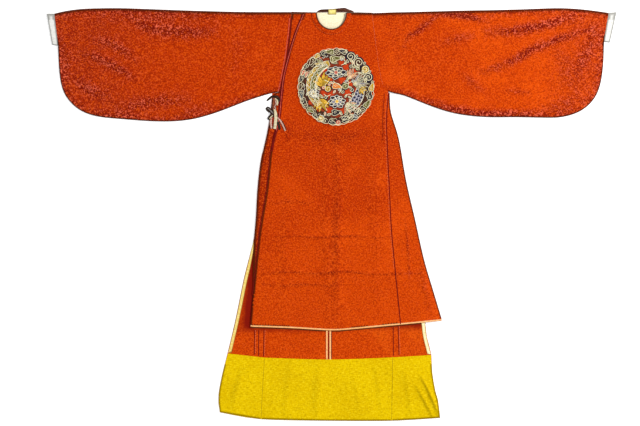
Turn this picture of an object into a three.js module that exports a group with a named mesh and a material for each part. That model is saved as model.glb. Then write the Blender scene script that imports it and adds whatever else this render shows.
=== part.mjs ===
// A round-collar robe of red silk damask, laid flat with its front up.
// Millimetres; +X across the robe, +Y from hem to shoulders, +Z up from the floor it lies on.
import * as THREE from 'three';

// ---------------------------------------------------------------- driving dimensions
const wall = 1.2;               // thickness of every cloth wall
const seamGap = 0.3;            // space between neighbouring pieces
const layer = wall + seamGap;   // height that one more layer of cloth takes up
const shoulderY = 765;          // the shoulder line, where the cloth folds over
const neckX = 1;                // middle of the neck opening
const neckHalfWidth = 57;
const neckDepth = 64;
const collarWidth = 18;
const centreBackX = -10;        // the centre back seam
const selvedgeWidth = 6;
const sideFacingWidth = 13;
const hemEdgeWidth = 6;
const rollHeight = 5;           // thickness of the rolled back of the collar
const badgeX = 18;              // middle of the chest roundel
const badgeY = 483;
const badgeRadius = 150;
const badgeScallops = 14;
const badgeScallopDepth = 1.6;
const sleeveWristGap = 1;       // space between a sleeve's two layers at the wrist
const seaming = seamGap / 2;    // how far each piece stays back from a shared seam
const tubeSteps = 12;           // steps across each layer of a sleeve or cuff
const foldReach = 3;            // how far in from its edge a tube reaches its full height

// Heights of the layers' undersides, counted up from the floor.
const level = {
  back: 0,
  facing: layer,
  frontInner: 2 * layer,
  frontOuter: 3 * layer,
  trim: 4 * layer,
};

// ---------------------------------------------------------------- outlines
// Free edge of the outer front, from the shoulder down to the front hem.
const flapEdgeRows = [
  { x: -105, y: 767 },
  { x: -134, y: 688 },
  { x: -161, y: 600 },
  { x: -179, y: 528 },
  { x: -188, y: 464 },
  { x: -195, y: 388 },
  { x: -208, y: 315 },
  { x: -227, y: 243 },
  { x: -243, y: 91 },
  { x: -271, y: -80 },
  { x: -297, y: -327 },
  { x: -306, y: -429 },
];

// Front hem, from the flap's corner to the corner of the gore.
const frontHemRows = [
  { x: -306, y: -429 },
  { x: -157, y: -434 },
  { x: 0, y: -443 },
  { x: 71, y: -439 },
  { x: 264, y: -421 },
];
const goreHemRows = [
  { x: 264, y: -421 },
  { x: 420, y: -406 },
];

// Armholes, from the shoulder line down to the armpit.
const armholeLeftRows = [
  { x: -151, y: 768 },
  { x: -158, y: 680 },
  { x: -172, y: 581 },
  { x: -189, y: 494 },
  { x: -196, y: 462 },
];
const armholeRightRows = [
  { x: 155, y: 764 },
  { x: 165, y: 680 },
  { x: 181, y: 560 },
  { x: 196, y: 490 },
  { x: 218, y: 464 },
];

// Seam between the outer front and its gore, and the gore's outer edge.
const goreSeamRows = [
  { x: 218, y: 464 },
  { x: 211, y: 376 },
  { x: 212, y: 281 },
  { x: 223, y: 53 },
  { x: 229, y: -61 },
  { x: 243, y: -213 },
  { x: 264, y: -421 },
];
const goreSideRows = [
  { x: 222, y: 463 },
  { x: 225, y: 388 },
  { x: 235, y: 357 },
  { x: 258, y: 281 },
  { x: 284, y: 129 },
  { x: 319, y: -23 },
  { x: 353, y: -175 },
  { x: 387, y: -289 },
  { x: 420, y: -406 },
];

// Left side of the body below the armpit: the side seam, then the slit's edge on the back only.
const sideLeftRows = [
  { x: -224, y: 459 },
  { x: -230, y: 390 },
  { x: -237, y: 345 },
  { x: -253, y: 262 },
  { x: -268, y: 205 },
  { x: -281, y: 91 },
  { x: -287, y: -23 },
  { x: -295, y: -99 },
];
const slitLeftRows = [
  { x: -295, y: -99 },
  { x: -314, y: -175 },
  { x: -333, y: -251 },
  { x: -364, y: -403 },
  { x: -394, y: -530 },
];
const hemSideLeftRows = [
  { x: -394, y: -530 },
  { x: -412, y: -600 },
  { x: -426, y: -670 },
  { x: -429, y: -712 },
  { x: -423, y: -754 },
];
// Right side of the back, hidden under the gore down to the front hem.
const sideRightRows = [
  { x: 218, y: 461 },
  { x: 224, y: 357 },
  { x: 262, y: 205 },
  { x: 290, y: 53 },
  { x: 314, y: -99 },
];
const slitRightRows = [
  { x: 314, y: -99 },
  { x: 335, y: -289 },
  { x: 357, y: -410 },
  { x: 362, y: -460 },
  { x: 381, y: -536 },
];
const hemSideRightRows = [
  { x: 381, y: -536 },
  { x: 383, y: -593 },
  { x: 395, y: -669 },
  { x: 406, y: -707 },
  { x: 414, y: -775 },
];
// Back hem, in the three lengths of the yellow band, and the band's upper edge.
const bandCuts = [
  { topX: -394, topY: -530, hemX: -423, hemY: -754 },
  { topX: -253, topY: -546, hemX: -267, hemY: -780 },
  { topX: 233, topY: -545, hemX: 229, hemY: -786 },
  { topX: 381, topY: -536, hemX: 414, hemY: -775 },
];
const bandMiddle = { topX: -5, topY: -553, hemX: -5, hemY: -786 };

// The inner front's hidden edge, from the middle of the neck to its own hem.
const innerHiddenRows = [
  { x: 1, y: 696 },
  { x: 60, y: 560 },
  { x: 120, y: 300 },
  { x: 190, y: -424 },
];
const innerSlitRows = [
  { x: -295, y: -99 },
  { x: -297, y: -250 },
  { x: -297, y: -418 },
];

// Sleeves: matching points along the fold on top and the edge below, from wrist to armhole.
const sleeveLeftRows = [
  { foldX: -1052, foldY: 762, hemX: -1037, hemY: 638 },
  { foldX: -1023, foldY: 769, hemX: -1035.5, hemY: 569 },
  { foldX: -989, foldY: 775, hemX: -1026.5, hemY: 489 },
  { foldX: -947, foldY: 780, hemX: -1002.5, hemY: 436 },
  { foldX: -894, foldY: 782, hemX: -953.5, hemY: 391 },
  { foldX: -833, foldY: 783, hemX: -886, hemY: 368 },
  { foldX: -765, foldY: 782, hemX: -799, hemY: 360 },
  { foldX: -689, foldY: 779, hemX: -704, hemY: 352 },
  { foldX: -605, foldY: 776, hemX: -609, hemY: 350 },
  { foldX: -525, foldY: 773, hemX: -529, hemY: 358 },
  { foldX: -449, foldY: 771, hemX: -453, hemY: 378 },
  { foldX: -377, foldY: 769, hemX: -385, hemY: 403 },
  { foldX: -305, foldY: 768, hemX: -316, hemY: 430 },
  { foldX: -236, foldY: 768, hemX: -263, hemY: 447 },
  { foldX: -188, foldY: 768, hemX: -226, hemY: 458 },
  { foldX: -151, foldY: 768, hemX: -196, hemY: 462 },
];
const sleeveRightRows = [
  { foldX: 1054, foldY: 765, hemX: 1035, hemY: 654 },
  { foldX: 1021, foldY: 770, hemX: 1035, hemY: 577 },
  { foldX: 983, foldY: 775, hemX: 1024, hemY: 493 },
  { foldX: 934, foldY: 780, hemX: 1000, hemY: 436 },
  { foldX: 877, foldY: 783, hemX: 951, hemY: 390 },
  { foldX: 812, foldY: 782, hemX: 877, hemY: 366 },
  { foldX: 744, foldY: 779, hemX: 797, hemY: 365 },
  { foldX: 668, foldY: 777, hemX: 702, hemY: 367 },
  { foldX: 592, foldY: 775, hemX: 619, hemY: 366 },
  { foldX: 516, foldY: 774, hemX: 543, hemY: 370 },
  { foldX: 440, foldY: 772, hemX: 467, hemY: 381 },
  { foldX: 364, foldY: 770, hemX: 391, hemY: 404 },
  { foldX: 296, foldY: 768, hemX: 326, hemY: 430 },
  { foldX: 236, foldY: 767, hemX: 275, hemY: 450 },
  { foldX: 192, foldY: 765, hemX: 240, hemY: 457 },
  { foldX: 155, foldY: 764, hemX: 218, hemY: 464 },
];

// The cuffs' own edges, in the same columns; each cuff runs from there to its sleeve.
const cuffLeftEdge = { foldX: -1081, foldY: 762, hemX: -1060, hemY: 641 };
const cuffRightEdge = { foldX: 1084, foldY: 768, hemX: 1058, hemY: 650 };

// ---------------------------------------------------------------- the largest soft folds
// Each is a ridge along a line from (x1, y1) to (x2, y2), with its height and half width.
const sleeveFolds = [
  { x1: -726, y1: 750, x2: -440, y2: 712, height: 2.4, spread: 26 },
  { x1: -960, y1: 640, x2: -760, y2: 545, height: 2.2, spread: 24 },
  { x1: -900, y1: 735, x2: -700, y2: 640, height: 1.6, spread: 30 },
  { x1: -860, y1: 430, x2: -480, y2: 440, height: 1.8, spread: 30 },
  { x1: 995, y1: 715, x2: 530, y2: 510, height: 2.6, spread: 24 },
  { x1: 600, y1: 692, x2: 900, y2: 750, height: 2.4, spread: 22 },
  { x1: 410, y1: 745, x2: 300, y2: 620, height: 1.6, spread: 24 },
  { x1: 400, y1: 450, x2: 780, y2: 410, height: 1.8, spread: 26 },
  { x1: 960, y1: 640, x2: 900, y2: 470, height: 1.8, spread: 26 },
];
const bodyFolds = [
  { x1: 14, y1: 230, x2: 22, y2: -430, height: 1.6, spread: 26 },
  { x1: -220, y1: -84, x2: 330, y2: -92, height: 0.9, spread: 14 },
  { x1: -260, y1: -222, x2: 380, y2: -232, height: 1.2, spread: 14 },
  { x1: -230, y1: -20, x2: -250, y2: -400, height: 1.2, spread: 30 },
  { x1: 170, y1: 330, x2: 200, y2: -60, height: 1.2, spread: 30 },
  { x1: 330, y1: -120, x2: 372, y2: -390, height: 1.6, spread: 24 },
];
const bandFolds = [
  { x1: 341, y1: -620, x2: 398, y2: -764, height: 2.6, spread: 16 },
  { x1: 300, y1: -600, x2: 330, y2: -770, height: 1.6, spread: 18 },
  { x1: -40, y1: -580, x2: -55, y2: -780, height: 1.4, spread: 24 },
  { x1: 60, y1: -600, x2: 80, y2: -780, height: 1.2, spread: 20 },
  { x1: -330, y1: -620, x2: -380, y2: -740, height: 1.4, spread: 22 },
];

function lift(folds, x, y) {
  let height = 0;
  for (const fold of folds) {
    const run = new THREE.Vector2(fold.x2 - fold.x1, fold.y2 - fold.y1);
    const from = new THREE.Vector2(x - fold.x1, y - fold.y1);
    const along = from.dot(run) / run.lengthSq();
    const aside = from.cross(run) / run.length();
    const fade = Math.sin(Math.PI * THREE.MathUtils.clamp(along, 0, 1));
    height += fold.height * Math.sqrt(fade) * Math.exp(-((aside / fold.spread) ** 2));
  }
  return height;
}

// ---------------------------------------------------------------- looks
const silk = new THREE.Color().setRGB(0.75, 0.24, 0.06, THREE.SRGBColorSpace);
const silkInside = new THREE.Color().setRGB(0.81, 0.28, 0.05, THREE.SRGBColorSpace);
const yellow = new THREE.Color().setRGB(0.93, 0.79, 0.07, THREE.SRGBColorSpace);
const cream = new THREE.Color().setRGB(0.97, 0.94, 0.83, THREE.SRGBColorSpace);
const white = new THREE.Color().setRGB(0.9, 0.89, 0.88, THREE.SRGBColorSpace);
const dark = new THREE.Color().setRGB(0.22, 0.13, 0.11, THREE.SRGBColorSpace);
const pale = new THREE.Color().setRGB(0.98, 0.74, 0.53, THREE.SRGBColorSpace);
const rose = new THREE.Color().setRGB(0.78, 0.52, 0.47, THREE.SRGBColorSpace);
const badgeRed = new THREE.Color().setRGB(0.72, 0.5, 0.35, THREE.SRGBColorSpace);

const robe = new THREE.Group();

function add(name, colour, geometry) {
  const material = new THREE.MeshStandardMaterial({ color: colour, roughness: 0.6, metalness: 0 });
  const mesh = new THREE.Mesh(geometry, material);
  mesh.name = name;
  robe.add(mesh);
}

// ---------------------------------------------------------------- curves
const spline = (rows) => new THREE.SplineCurve(rows.map((row) => new THREE.Vector2(row.x, row.y)));

const line = (x1, y1, x2, y2) => {
  return new THREE.LineCurve(new THREE.Vector2(x1, y1), new THREE.Vector2(x2, y2));
};

// The neck opening from left to right, with its radii grown by a margin.
const neckArc = (margin, from = Math.PI, to = 2 * Math.PI) => {
  const radiusX = neckHalfWidth + margin;
  const radiusY = neckDepth + margin;
  return new THREE.EllipseCurve(neckX, shoulderY, radiusX, radiusY, from, to, false, 0);
};

// Several curves in a row, read by their length, moved aside as a whole.
function edge(curves, moveX = 0, moveY = 0) {
  const path = new THREE.CurvePath();
  curves.forEach((curve) => path.add(curve));
  return (t) => path.getPoint(t).add(new THREE.Vector2(moveX, moveY));
}

const evenStops = (count) => Array.from({ length: count + 1 }, (_, index) => index / count);

// Stops along such a chain, from the stops of each of its curves.
function stops(curves, parts) {
  const lengths = curves.map((curve) => curve.getLength());
  const total = lengths.reduce((sum, length) => sum + length, 0);
  const result = [0];
  let start = 0;
  curves.forEach((_, index) => {
    parts[index].slice(1).forEach((stop) => result.push((start + lengths[index] * stop) / total));
    start += lengths[index];
  });
  return result;
}

// Stops across a flat tube: its two edges, a place close inside each, and even steps between.
function tubeStops(length, inset) {
  const span = length - 2 * foldReach;
  const inside = evenStops(tubeSteps - 2).map((stop) => (foldReach + span * stop) / length);
  return [inset / length, ...inside, 1 - inset / length];
}

// The same stops along an armhole, so that a sleeve and the body share its corners.
function armholeStops(armhole) {
  return tubeStops(armhole.getPoint(0).distanceTo(armhole.getPoint(1)), 0);
}

// A point inside four edges, each read from left to right or from top to bottom.
function between(edges, u, v) {
  const across = edges.top(u).multiplyScalar(1 - v).addScaledVector(edges.bottom(u), v);
  const down = edges.left(v).multiplyScalar(1 - u).addScaledVector(edges.right(v), u);
  const corners = edges.top(0).multiplyScalar((1 - u) * (1 - v));
  corners.addScaledVector(edges.top(1), u * (1 - v));
  corners.addScaledVector(edges.bottom(0), (1 - u) * v);
  corners.addScaledVector(edges.bottom(1), u * v);
  return across.add(down).sub(corners);
}

// ---------------------------------------------------------------- closed bodies
// Turns a list of points and triangles into a body whose faces point out.
function body(points, triangles) {
  let volume = 0;
  for (const [a, b, c] of triangles) {
    volume += points[a].dot(points[b].clone().cross(points[c]));
  }
  const order = volume < 0 ? ([a, b, c]) => [a, c, b] : (triangle) => triangle;
  const geometry = new THREE.BufferGeometry().setFromPoints(points);
  geometry.setIndex(triangles.flatMap(order));
  geometry.computeVertexNormals();
  return geometry;
}

// A cloth panel between four edges: its underside follows floorAt, its top lies a wall higher.
function panel(edges, columns, rows, floorAt, thickness = wall) {
  const points = [];
  const triangles = [];
  const width = columns.length;
  const layerSize = width * rows.length;
  for (const rise of [thickness, 0]) {
    for (const v of rows) {
      for (const u of columns) {
        const place = between(edges, u, v);
        points.push(new THREE.Vector3(place.x, place.y, floorAt(place.x, place.y, u, v) + rise));
      }
    }
  }
  const quad = (a, b, c, d) => triangles.push([a, b, c], [a, c, d]);
  for (let row = 0; row < rows.length - 1; row += 1) {
    for (let column = 0; column < width - 1; column += 1) {
      const a = row * width + column;
      quad(a, a + width, a + width + 1, a + 1);
      quad(layerSize + a, layerSize + a + 1, layerSize + a + width + 1, layerSize + a + width);
    }
  }
  const rim = [];
  for (let column = 0; column < width - 1; column += 1) rim.push(column);
  for (let row = 0; row < rows.length - 1; row += 1) rim.push(row * width + width - 1);
  for (let column = width - 1; column > 0; column -= 1) rim.push((rows.length - 1) * width + column);
  for (let row = rows.length - 1; row > 0; row -= 1) rim.push(row * width);
  rim.forEach((a, index) => {
    const b = rim[(index + 1) % rim.length];
    quad(a, b, layerSize + b, layerSize + a);
  });
  return body(points, triangles);
}

// A flat piece of cloth cut to an outline.
function plate(outline, floor, thickness = wall) {
  const options = { depth: thickness, bevelEnabled: false };
  const geometry = new THREE.ExtrudeGeometry(new THREE.Shape(outline), options);
  return geometry.translate(0, 0, floor);
}

const along = (path, places) => places.map((t) => path(t));

// A sleeve or cuff: a flattened tube with a rounded fold at both edges, open at both ends.
function flatTube(edges, rings, frontFloorAt) {
  const points = [];
  const loop = 2 * tubeSteps;
  const addLoop = (ringStop, inset, frontRise, backRise) => {
    const places = tubeStops(edges.top(ringStop).distanceTo(edges.bottom(ringStop)), inset);
    for (let step = 0; step < loop; step += 1) {
      const index = step <= tubeSteps ? step : loop - step;
      const plan = between(edges, ringStop, places[index]);
      const front = frontFloorAt(plan.x, plan.y, ringStop);
      const atEdge = index === 0 || index === tubeSteps;
      const layerHeight = step < tubeSteps ? front + frontRise : backRise;
      points.push(new THREE.Vector3(plan.x, plan.y, atEdge ? (front + wall) / 2 : layerHeight));
    }
  };
  rings.forEach((stop) => addLoop(stop, 0, wall, 0));
  rings.forEach((stop) => addLoop(stop, wall, 0, wall));
  const inner = rings.length * loop;
  const triangles = [];
  const quad = (a, b, c, d) => triangles.push([a, b, c], [a, c, d]);
  for (let step = 0; step < loop; step += 1) {
    const next = (step + 1) % loop;
    for (let ring = 0; ring < rings.length - 1; ring += 1) {
      const here = ring * loop;
      const there = here + loop;
      quad(here + step, here + next, there + next, there + step);
      quad(inner + here + step, inner + there + step, inner + there + next, inner + here + next);
    }
    const last = (rings.length - 1) * loop;
    quad(step, inner + step, inner + next, next);
    quad(last + step, last + next, inner + last + next, inner + last + step);
  }
  return body(points, triangles);
}

// A ribbon of even width along a short spline, lying at one height.
function ribbon(rows, width, floor, thickness = 1) {
  const curve = spline(rows);
  const steps = 6;
  const sides = [[], []];
  for (const t of evenStops(steps)) {
    const at = curve.getPointAt(t);
    const side = curve.getTangentAt(t).rotateAround(new THREE.Vector2(), Math.PI / 2);
    sides[0].push(at.clone().addScaledVector(side, width / 2));
    sides[1].unshift(at.clone().addScaledVector(side, -width / 2));
  }
  return plate([...sides[0], ...sides[1]], floor, thickness);
}

// ---------------------------------------------------------------- back
const armholeLeft = spline(armholeLeftRows);
const armholeRight = spline(armholeRightRows);

// The whole side of the back, from its armpit to its hem.
const wholeSide = (side, slit, hem) => spline([...side, ...slit.slice(1), ...hem.slice(1)]);

function addBack() {
  const sideStops = evenStops(36);
  const hemMiddle = { x: centreBackX, y: bandMiddle.hemY };
  const leftHem = [...bandCuts.slice(0, 2).map((cut) => ({ x: cut.hemX, y: cut.hemY })), hemMiddle];
  const rightHem = [hemMiddle, ...bandCuts.slice(2).map((cut) => ({ x: cut.hemX, y: cut.hemY }))];
  const left = [
    ...along(edge([armholeLeft], seaming), armholeStops(armholeLeft)),
    ...along(edge([wholeSide(sideLeftRows, slitLeftRows, hemSideLeftRows)]), sideStops),
    ...along(edge([spline(leftHem)], -seaming), evenStops(8)).slice(1),
    new THREE.Vector2(centreBackX - seaming, shoulderY),
  ];
  const right = [
    new THREE.Vector2(centreBackX + seaming, shoulderY),
    ...along(edge([spline(rightHem)], seaming), evenStops(8)),
    ...along(edge([wholeSide(sideRightRows, slitRightRows, hemSideRightRows)]), sideStops).reverse().slice(1),
    ...along(edge([armholeRight], -seaming), armholeStops(armholeRight)).reverse(),
  ];
  add('back_left', silkInside, plate(left, level.back));
  add('back_right', silkInside, plate(right, level.back));
}

// Pale selvedges pressed open on both sides of the centre back seam.
function addSelvedges() {
  const top = shoulderY - neckDepth - 16;
  const bottom = bandMiddle.topY + seamGap;
  for (const [name, start] of [['seam_allowance_left', -9.5], ['seam_allowance_right', 3.5]]) {
    const x = centreBackX + start;
    const corners = [[x, top], [x, bottom], [x + selvedgeWidth, bottom], [x + selvedgeWidth, top]];
    add(name, pale, plate(corners.map(([px, py]) => new THREE.Vector2(px, py)), level.facing));
  }
}

// The yellow band inside the back hem, in three lengths.
function addHemBand() {
  const inset = 1.5;
  const floorAt = (x, y) => level.facing + lift(bandFolds, x, y);
  const names = ['hem_band_left', 'hem_band_centre', 'hem_band_right'];
  const sides = [spline(hemSideLeftRows), null, null, spline(hemSideRightRows)];
  names.forEach((name, index) => {
    const [from, to] = [bandCuts[index], bandCuts[index + 1]];
    const middle = index === 1 ? [bandMiddle] : [];
    const cuts = [from, ...middle, to];
    const seam = (cut) => line(cut.topX, cut.topY, cut.hemX, cut.hemY);
    const leftSeam = edge([sides[index] ?? seam(from)]);
    const rightSeam = edge([sides[index + 1] ?? seam(to)]);
    const topLine = edge([spline(cuts.map((cut) => ({ x: cut.topX, y: cut.topY })))]);
    const hemLine = edge([spline(cuts.map((cut) => ({ x: cut.hemX, y: cut.hemY })))]);
    const leftMove = index === 0 ? inset : seaming;
    const rightMove = index === 2 ? -inset : -seaming;
    const moved = (path, amount) => (t) => path(t).add(new THREE.Vector2(amount(t), 0));
    const raised = (path, amount) => (t) => path(t).add(new THREE.Vector2(0, amount(t)));
    const slide = (u) => leftMove * (1 - u) + rightMove * u;
    const edges = {
      top: moved(topLine, slide),
      bottom: raised(moved(hemLine, slide), () => inset),
      left: raised(moved(leftSeam, () => leftMove), (v) => inset * v),
      right: raised(moved(rightSeam, () => rightMove), (v) => inset * v),
    };
    const columns = evenStops(index === 1 ? 18 : 7);
    add(name, yellow, panel(edges, columns, evenStops(8), floorAt));
  });
}

// Narrow yellow facings along the slits of the back.
function addSideFacings() {
  const floorAt = () => level.facing;
  const slits = [['side_facing_left', slitLeftRows, 1], ['side_facing_right', slitRightRows, -1]];
  for (const [name, rows, side] of slits) {
    const slit = spline(rows);
    const outer = edge([slit], side * 1.2);
    const width = (t) => sideFacingWidth * Math.min(1, 0.3 + 3 * t);
    const inner = (t) => outer(t).add(new THREE.Vector2(side * width(t), 0));
      const shorten = (path) => (t) => path(t * 0.992);
    const [left, right] = side > 0 ? [outer, inner] : [inner, outer];
    const [a, b] = [shorten(left), shorten(right)];
    const join = (t) => (u) => a(t).lerp(b(t), u);
    const edges = { top: join(0), bottom: join(1), left: a, right: b };
    add(name, yellow, panel(edges, [0, 1], evenStops(16), floorAt));
  }
}

// The cream lining seen through the neck opening.
function addNeckLining() {
  const rim = along(edge([neckArc(12)]), evenStops(20));
  add('neck_lining', cream, plate(rim, level.facing));
}

// ---------------------------------------------------------------- fronts
function addInnerFront() {
  const [start] = armholeLeftRows;
  const hidden = 2;             // how far it stays behind the outer front's neck edge
  const neckLeft = neckX - neckHalfWidth - hidden;
  const top = [line(start.x, start.y, neckLeft, shoulderY), neckArc(hidden, Math.PI, 1.5 * Math.PI)];
  const sideRows = [sideLeftRows, innerSlitRows];
  const left = [armholeLeft, line(-196, 462, -224, 459), ...sideRows.map(spline)];
  const bottom = line(-297, -418, 190, -424);
  const edges = {
    top: edge(top, seaming),
    bottom: edge([bottom], seaming),
    left: edge(left, seaming),
    right: edge([spline(innerHiddenRows)], seaming),
  };
  edges.top = pinned(edges.top, edges.left(0), edges.right(0));
  edges.bottom = pinned(edges.bottom, edges.left(1), edges.right(1));
  const columns = stops(top, [evenStops(4), evenStops(6)]);
  const rows = stops(left, [armholeStops(armholeLeft), evenStops(1), evenStops(10), evenStops(5)]);
  add('front_inner', silk, panel(edges, columns, rows, () => level.frontInner));
}

// An edge with its two ends moved to given corners.
function pinned(path, start, end) {
  const first = start.clone().sub(path(0));
  const last = end.clone().sub(path(1));
  return (t) => path(t).addScaledVector(first, 1 - t).addScaledVector(last, t);
}

const frontFloor = (x, y) => level.frontOuter + lift(bodyFolds, x, y);

// The same rows with the last one drawn up, to leave room for the edge along the hem.
function aboveHemEdge(rows) {
  const last = rows[rows.length - 1];
  return [...rows.slice(0, -1), { x: last.x, y: last.y + hemEdgeWidth + seamGap }];
}

function addOuterFront() {
  const top = [
    line(-105, 767, neckX - neckHalfWidth, shoulderY),
    neckArc(0),
    line(neckX + neckHalfWidth, shoulderY, 155, 764),
  ];
  const goreSeam = spline(aboveHemEdge(goreSeamRows));
  const right = [armholeRight, goreSeam];
  const hemRise = hemEdgeWidth + seamGap;
  const front = { left: edge([spline(aboveHemEdge(flapEdgeRows))]), right: edge(right, -seaming) };
  front.top = pinned(edge(top), front.left(0), front.right(0));
  front.bottom = pinned(edge([spline(frontHemRows)], 0, hemRise), front.left(1), front.right(1));
  const columns = stops(top, [evenStops(2), evenStops(10), evenStops(4)]);
  const seamStops = evenStops(24);
  const rows = stops(right, [armholeStops(armholeRight), seamStops]);
  add('front_outer', silk, panel(front, columns, rows, frontFloor));

  const gore = { left: edge([goreSeam], seaming), right: edge([spline(aboveHemEdge(goreSideRows))]) };
  gore.top = (u) => gore.left(0).lerp(gore.right(0), u);
  gore.bottom = (u) => gore.left(1).lerp(gore.right(1), u);
  add('front_gore', silk, panel(gore, evenStops(5), [0.005, ...seamStops.slice(1)], goreFloor));

  const wholeHem = edge([spline(frontHemRows), spline(goreHemRows)]);
  const upper = (t) => wholeHem(t).add(new THREE.Vector2(0, hemEdgeWidth));
  const strip = {
    top: upper,
    bottom: wholeHem,
    left: (v) => upper(0).lerp(wholeHem(0), v),
    right: (v) => upper(1).lerp(wholeHem(1), v),
  };
  const hemStops = stops([spline(frontHemRows), spline(goreHemRows)], [columns, evenStops(5)]);
  add('front_hem_edge', pale, panel(strip, hemStops, [0, 1], goreFloor));
}

// Beyond the edge of the back the gore sinks from its layer towards the floor.
function goreFloor(x, y) {
  const backEdge = THREE.MathUtils.mapLinear(y, 129, -410, 276, 353);
  const past = THREE.MathUtils.smoothstep(x, backEdge + 10, backEdge + 60);
  const low = level.facing - wall;
  return THREE.MathUtils.lerp(frontFloor(x, y), low, past * (y < 129 ? 1 : 0));
}

// ---------------------------------------------------------------- sleeves and cuffs
function sleeveEdges(rows, armhole, move) {
  const fold = new THREE.SplineCurve(rows.map((row) => new THREE.Vector2(row.foldX, row.foldY)));
  const hem = new THREE.SplineCurve(rows.map((row) => new THREE.Vector2(row.hemX, row.hemY)));
  const shift = new THREE.Vector2(move, 0);
  const end = armhole ? edge([armhole], move) : (v) => fold.getPoint(1).lerp(hem.getPoint(1), v).add(shift);
  const slide = (curve) => (u) => curve.getPoint(u).addScaledVector(shift, u);
  return {
    top: slide(fold),
    bottom: slide(hem),
    left: (v) => fold.getPoint(0).lerp(hem.getPoint(0), v),
    right: end,
  };
}

function addSleeves() {
  const sleeves = [
    {
      name: 'sleeve_left',
      rows: sleeveLeftRows,
      armhole: armholeLeft,
      move: -seaming,
      floor: level.frontInner,
    },
    {
      name: 'sleeve_right',
      rows: sleeveRightRows,
      armhole: armholeRight,
      move: seaming,
      floor: level.frontOuter,
    },
  ];
  for (const sleeve of sleeves) {
    const frontFloorAt = (x, y, u) => {
      const rising = THREE.MathUtils.smoothstep(u, 0.75, 1);
      const base = THREE.MathUtils.lerp(wall + sleeveWristGap, sleeve.floor, rising);
      return base + lift(sleeveFolds, x, y) * (1 - rising);
    };
    const edges = sleeveEdges(sleeve.rows, sleeve.armhole, sleeve.move);
    add(sleeve.name, silk, flatTube(edges, evenStops(26), frontFloorAt));
  }
}

function addCuffs() {
  const cuffs = [
    { name: 'cuff_left', edgeRow: cuffLeftEdge, wrist: sleeveLeftRows[0], side: -1 },
    { name: 'cuff_right', edgeRow: cuffRightEdge, wrist: sleeveRightRows[0], side: 1 },
  ];
  const frontFloorAt = () => wall + sleeveWristGap;
  for (const cuff of cuffs) {
    const { foldX, foldY, hemX, hemY } = cuff.wrist;
    const seam = cuff.side * (seamGap + seaming);
    const seamRow = { foldX: foldX + seam, foldY, hemX: hemX + seam, hemY };
    const edges = sleeveEdges([cuff.edgeRow, seamRow], null, 0);
    add(cuff.name, white, flatTube(edges, evenStops(2), frontFloorAt));
  }
}

// ---------------------------------------------------------------- collar, badge and ribbons
const collarWall = 1.6;
const collarRoll = { left: -54, right: 86, aboveShoulder: 1.5 };
const tabEdges = { left: -11, width: 30, above: 12, below: 7, wall: 1 };

function addCollar() {
  const outer = along(edge([neckArc(collarWidth)]), evenStops(20));
  const inner = along(edge([neckArc(-1)]), evenStops(20)).reverse();
  add('collar_band', silk, plate([...outer, ...inner], level.trim, collarWall));

  // The back of the collar rolls over the shoulder line, higher towards the right.
  const rollBase = shoulderY + collarRoll.aboveShoulder;
  const rollTop = [
    { x: -52, y: rollBase + 4 },
    { x: -38, y: rollBase + 10 },
    { x: 5, y: rollBase + 12 },
    { x: 32, y: rollBase + 15 },
    { x: 50, y: 783 },
    { x: 63, y: rollBase + 12 },
    { x: 84, y: rollBase + 4 },
  ];
  const roll = along(edge([spline(rollTop)]), evenStops(18));
  const base = [new THREE.Vector2(collarRoll.right, rollBase), new THREE.Vector2(collarRoll.left, rollBase)];
  add('collar_back', dark, plate([...roll, ...base], seamGap, rollHeight));

  const { left, width, above, below } = tabEdges;
  const tab = {
    top: (u) => new THREE.Vector2(left + width * u, shoulderY + above),
    bottom: (u) => new THREE.Vector2(left + width * u, shoulderY - below),
    left: (v) => new THREE.Vector2(left, shoulderY + above - (above + below) * v),
    right: (v) => new THREE.Vector2(left + width, shoulderY + above - (above + below) * v),
  };
  const tabFloor = (x, y) => {
    const rise = Math.min(1, (y - shoulderY + below) / (below + 1));
    return THREE.MathUtils.lerp(level.frontInner, rollHeight + 2 * seamGap, rise);
  };
  add('collar_tab', yellow, panel(tab, evenStops(3), [0, 0.25, 0.5, 0.62, 0.8, 1], tabFloor, tabEdges.wall));
}

const badgeWall = 1;

function addRoundel() {
  const outline = [];
  const steps = badgeScallops * 5;
  for (let step = 0; step < steps; step += 1) {
    const turn = (2 * Math.PI * step) / steps;
    const radius = badgeRadius + badgeScallopDepth * Math.cos(badgeScallops * turn);
    outline.push(new THREE.Vector2(badgeX + radius * Math.cos(turn), badgeY + radius * Math.sin(turn)));
  }
  add('roundel', badgeRed, plate(outline, level.trim, badgeWall));
}

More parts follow.
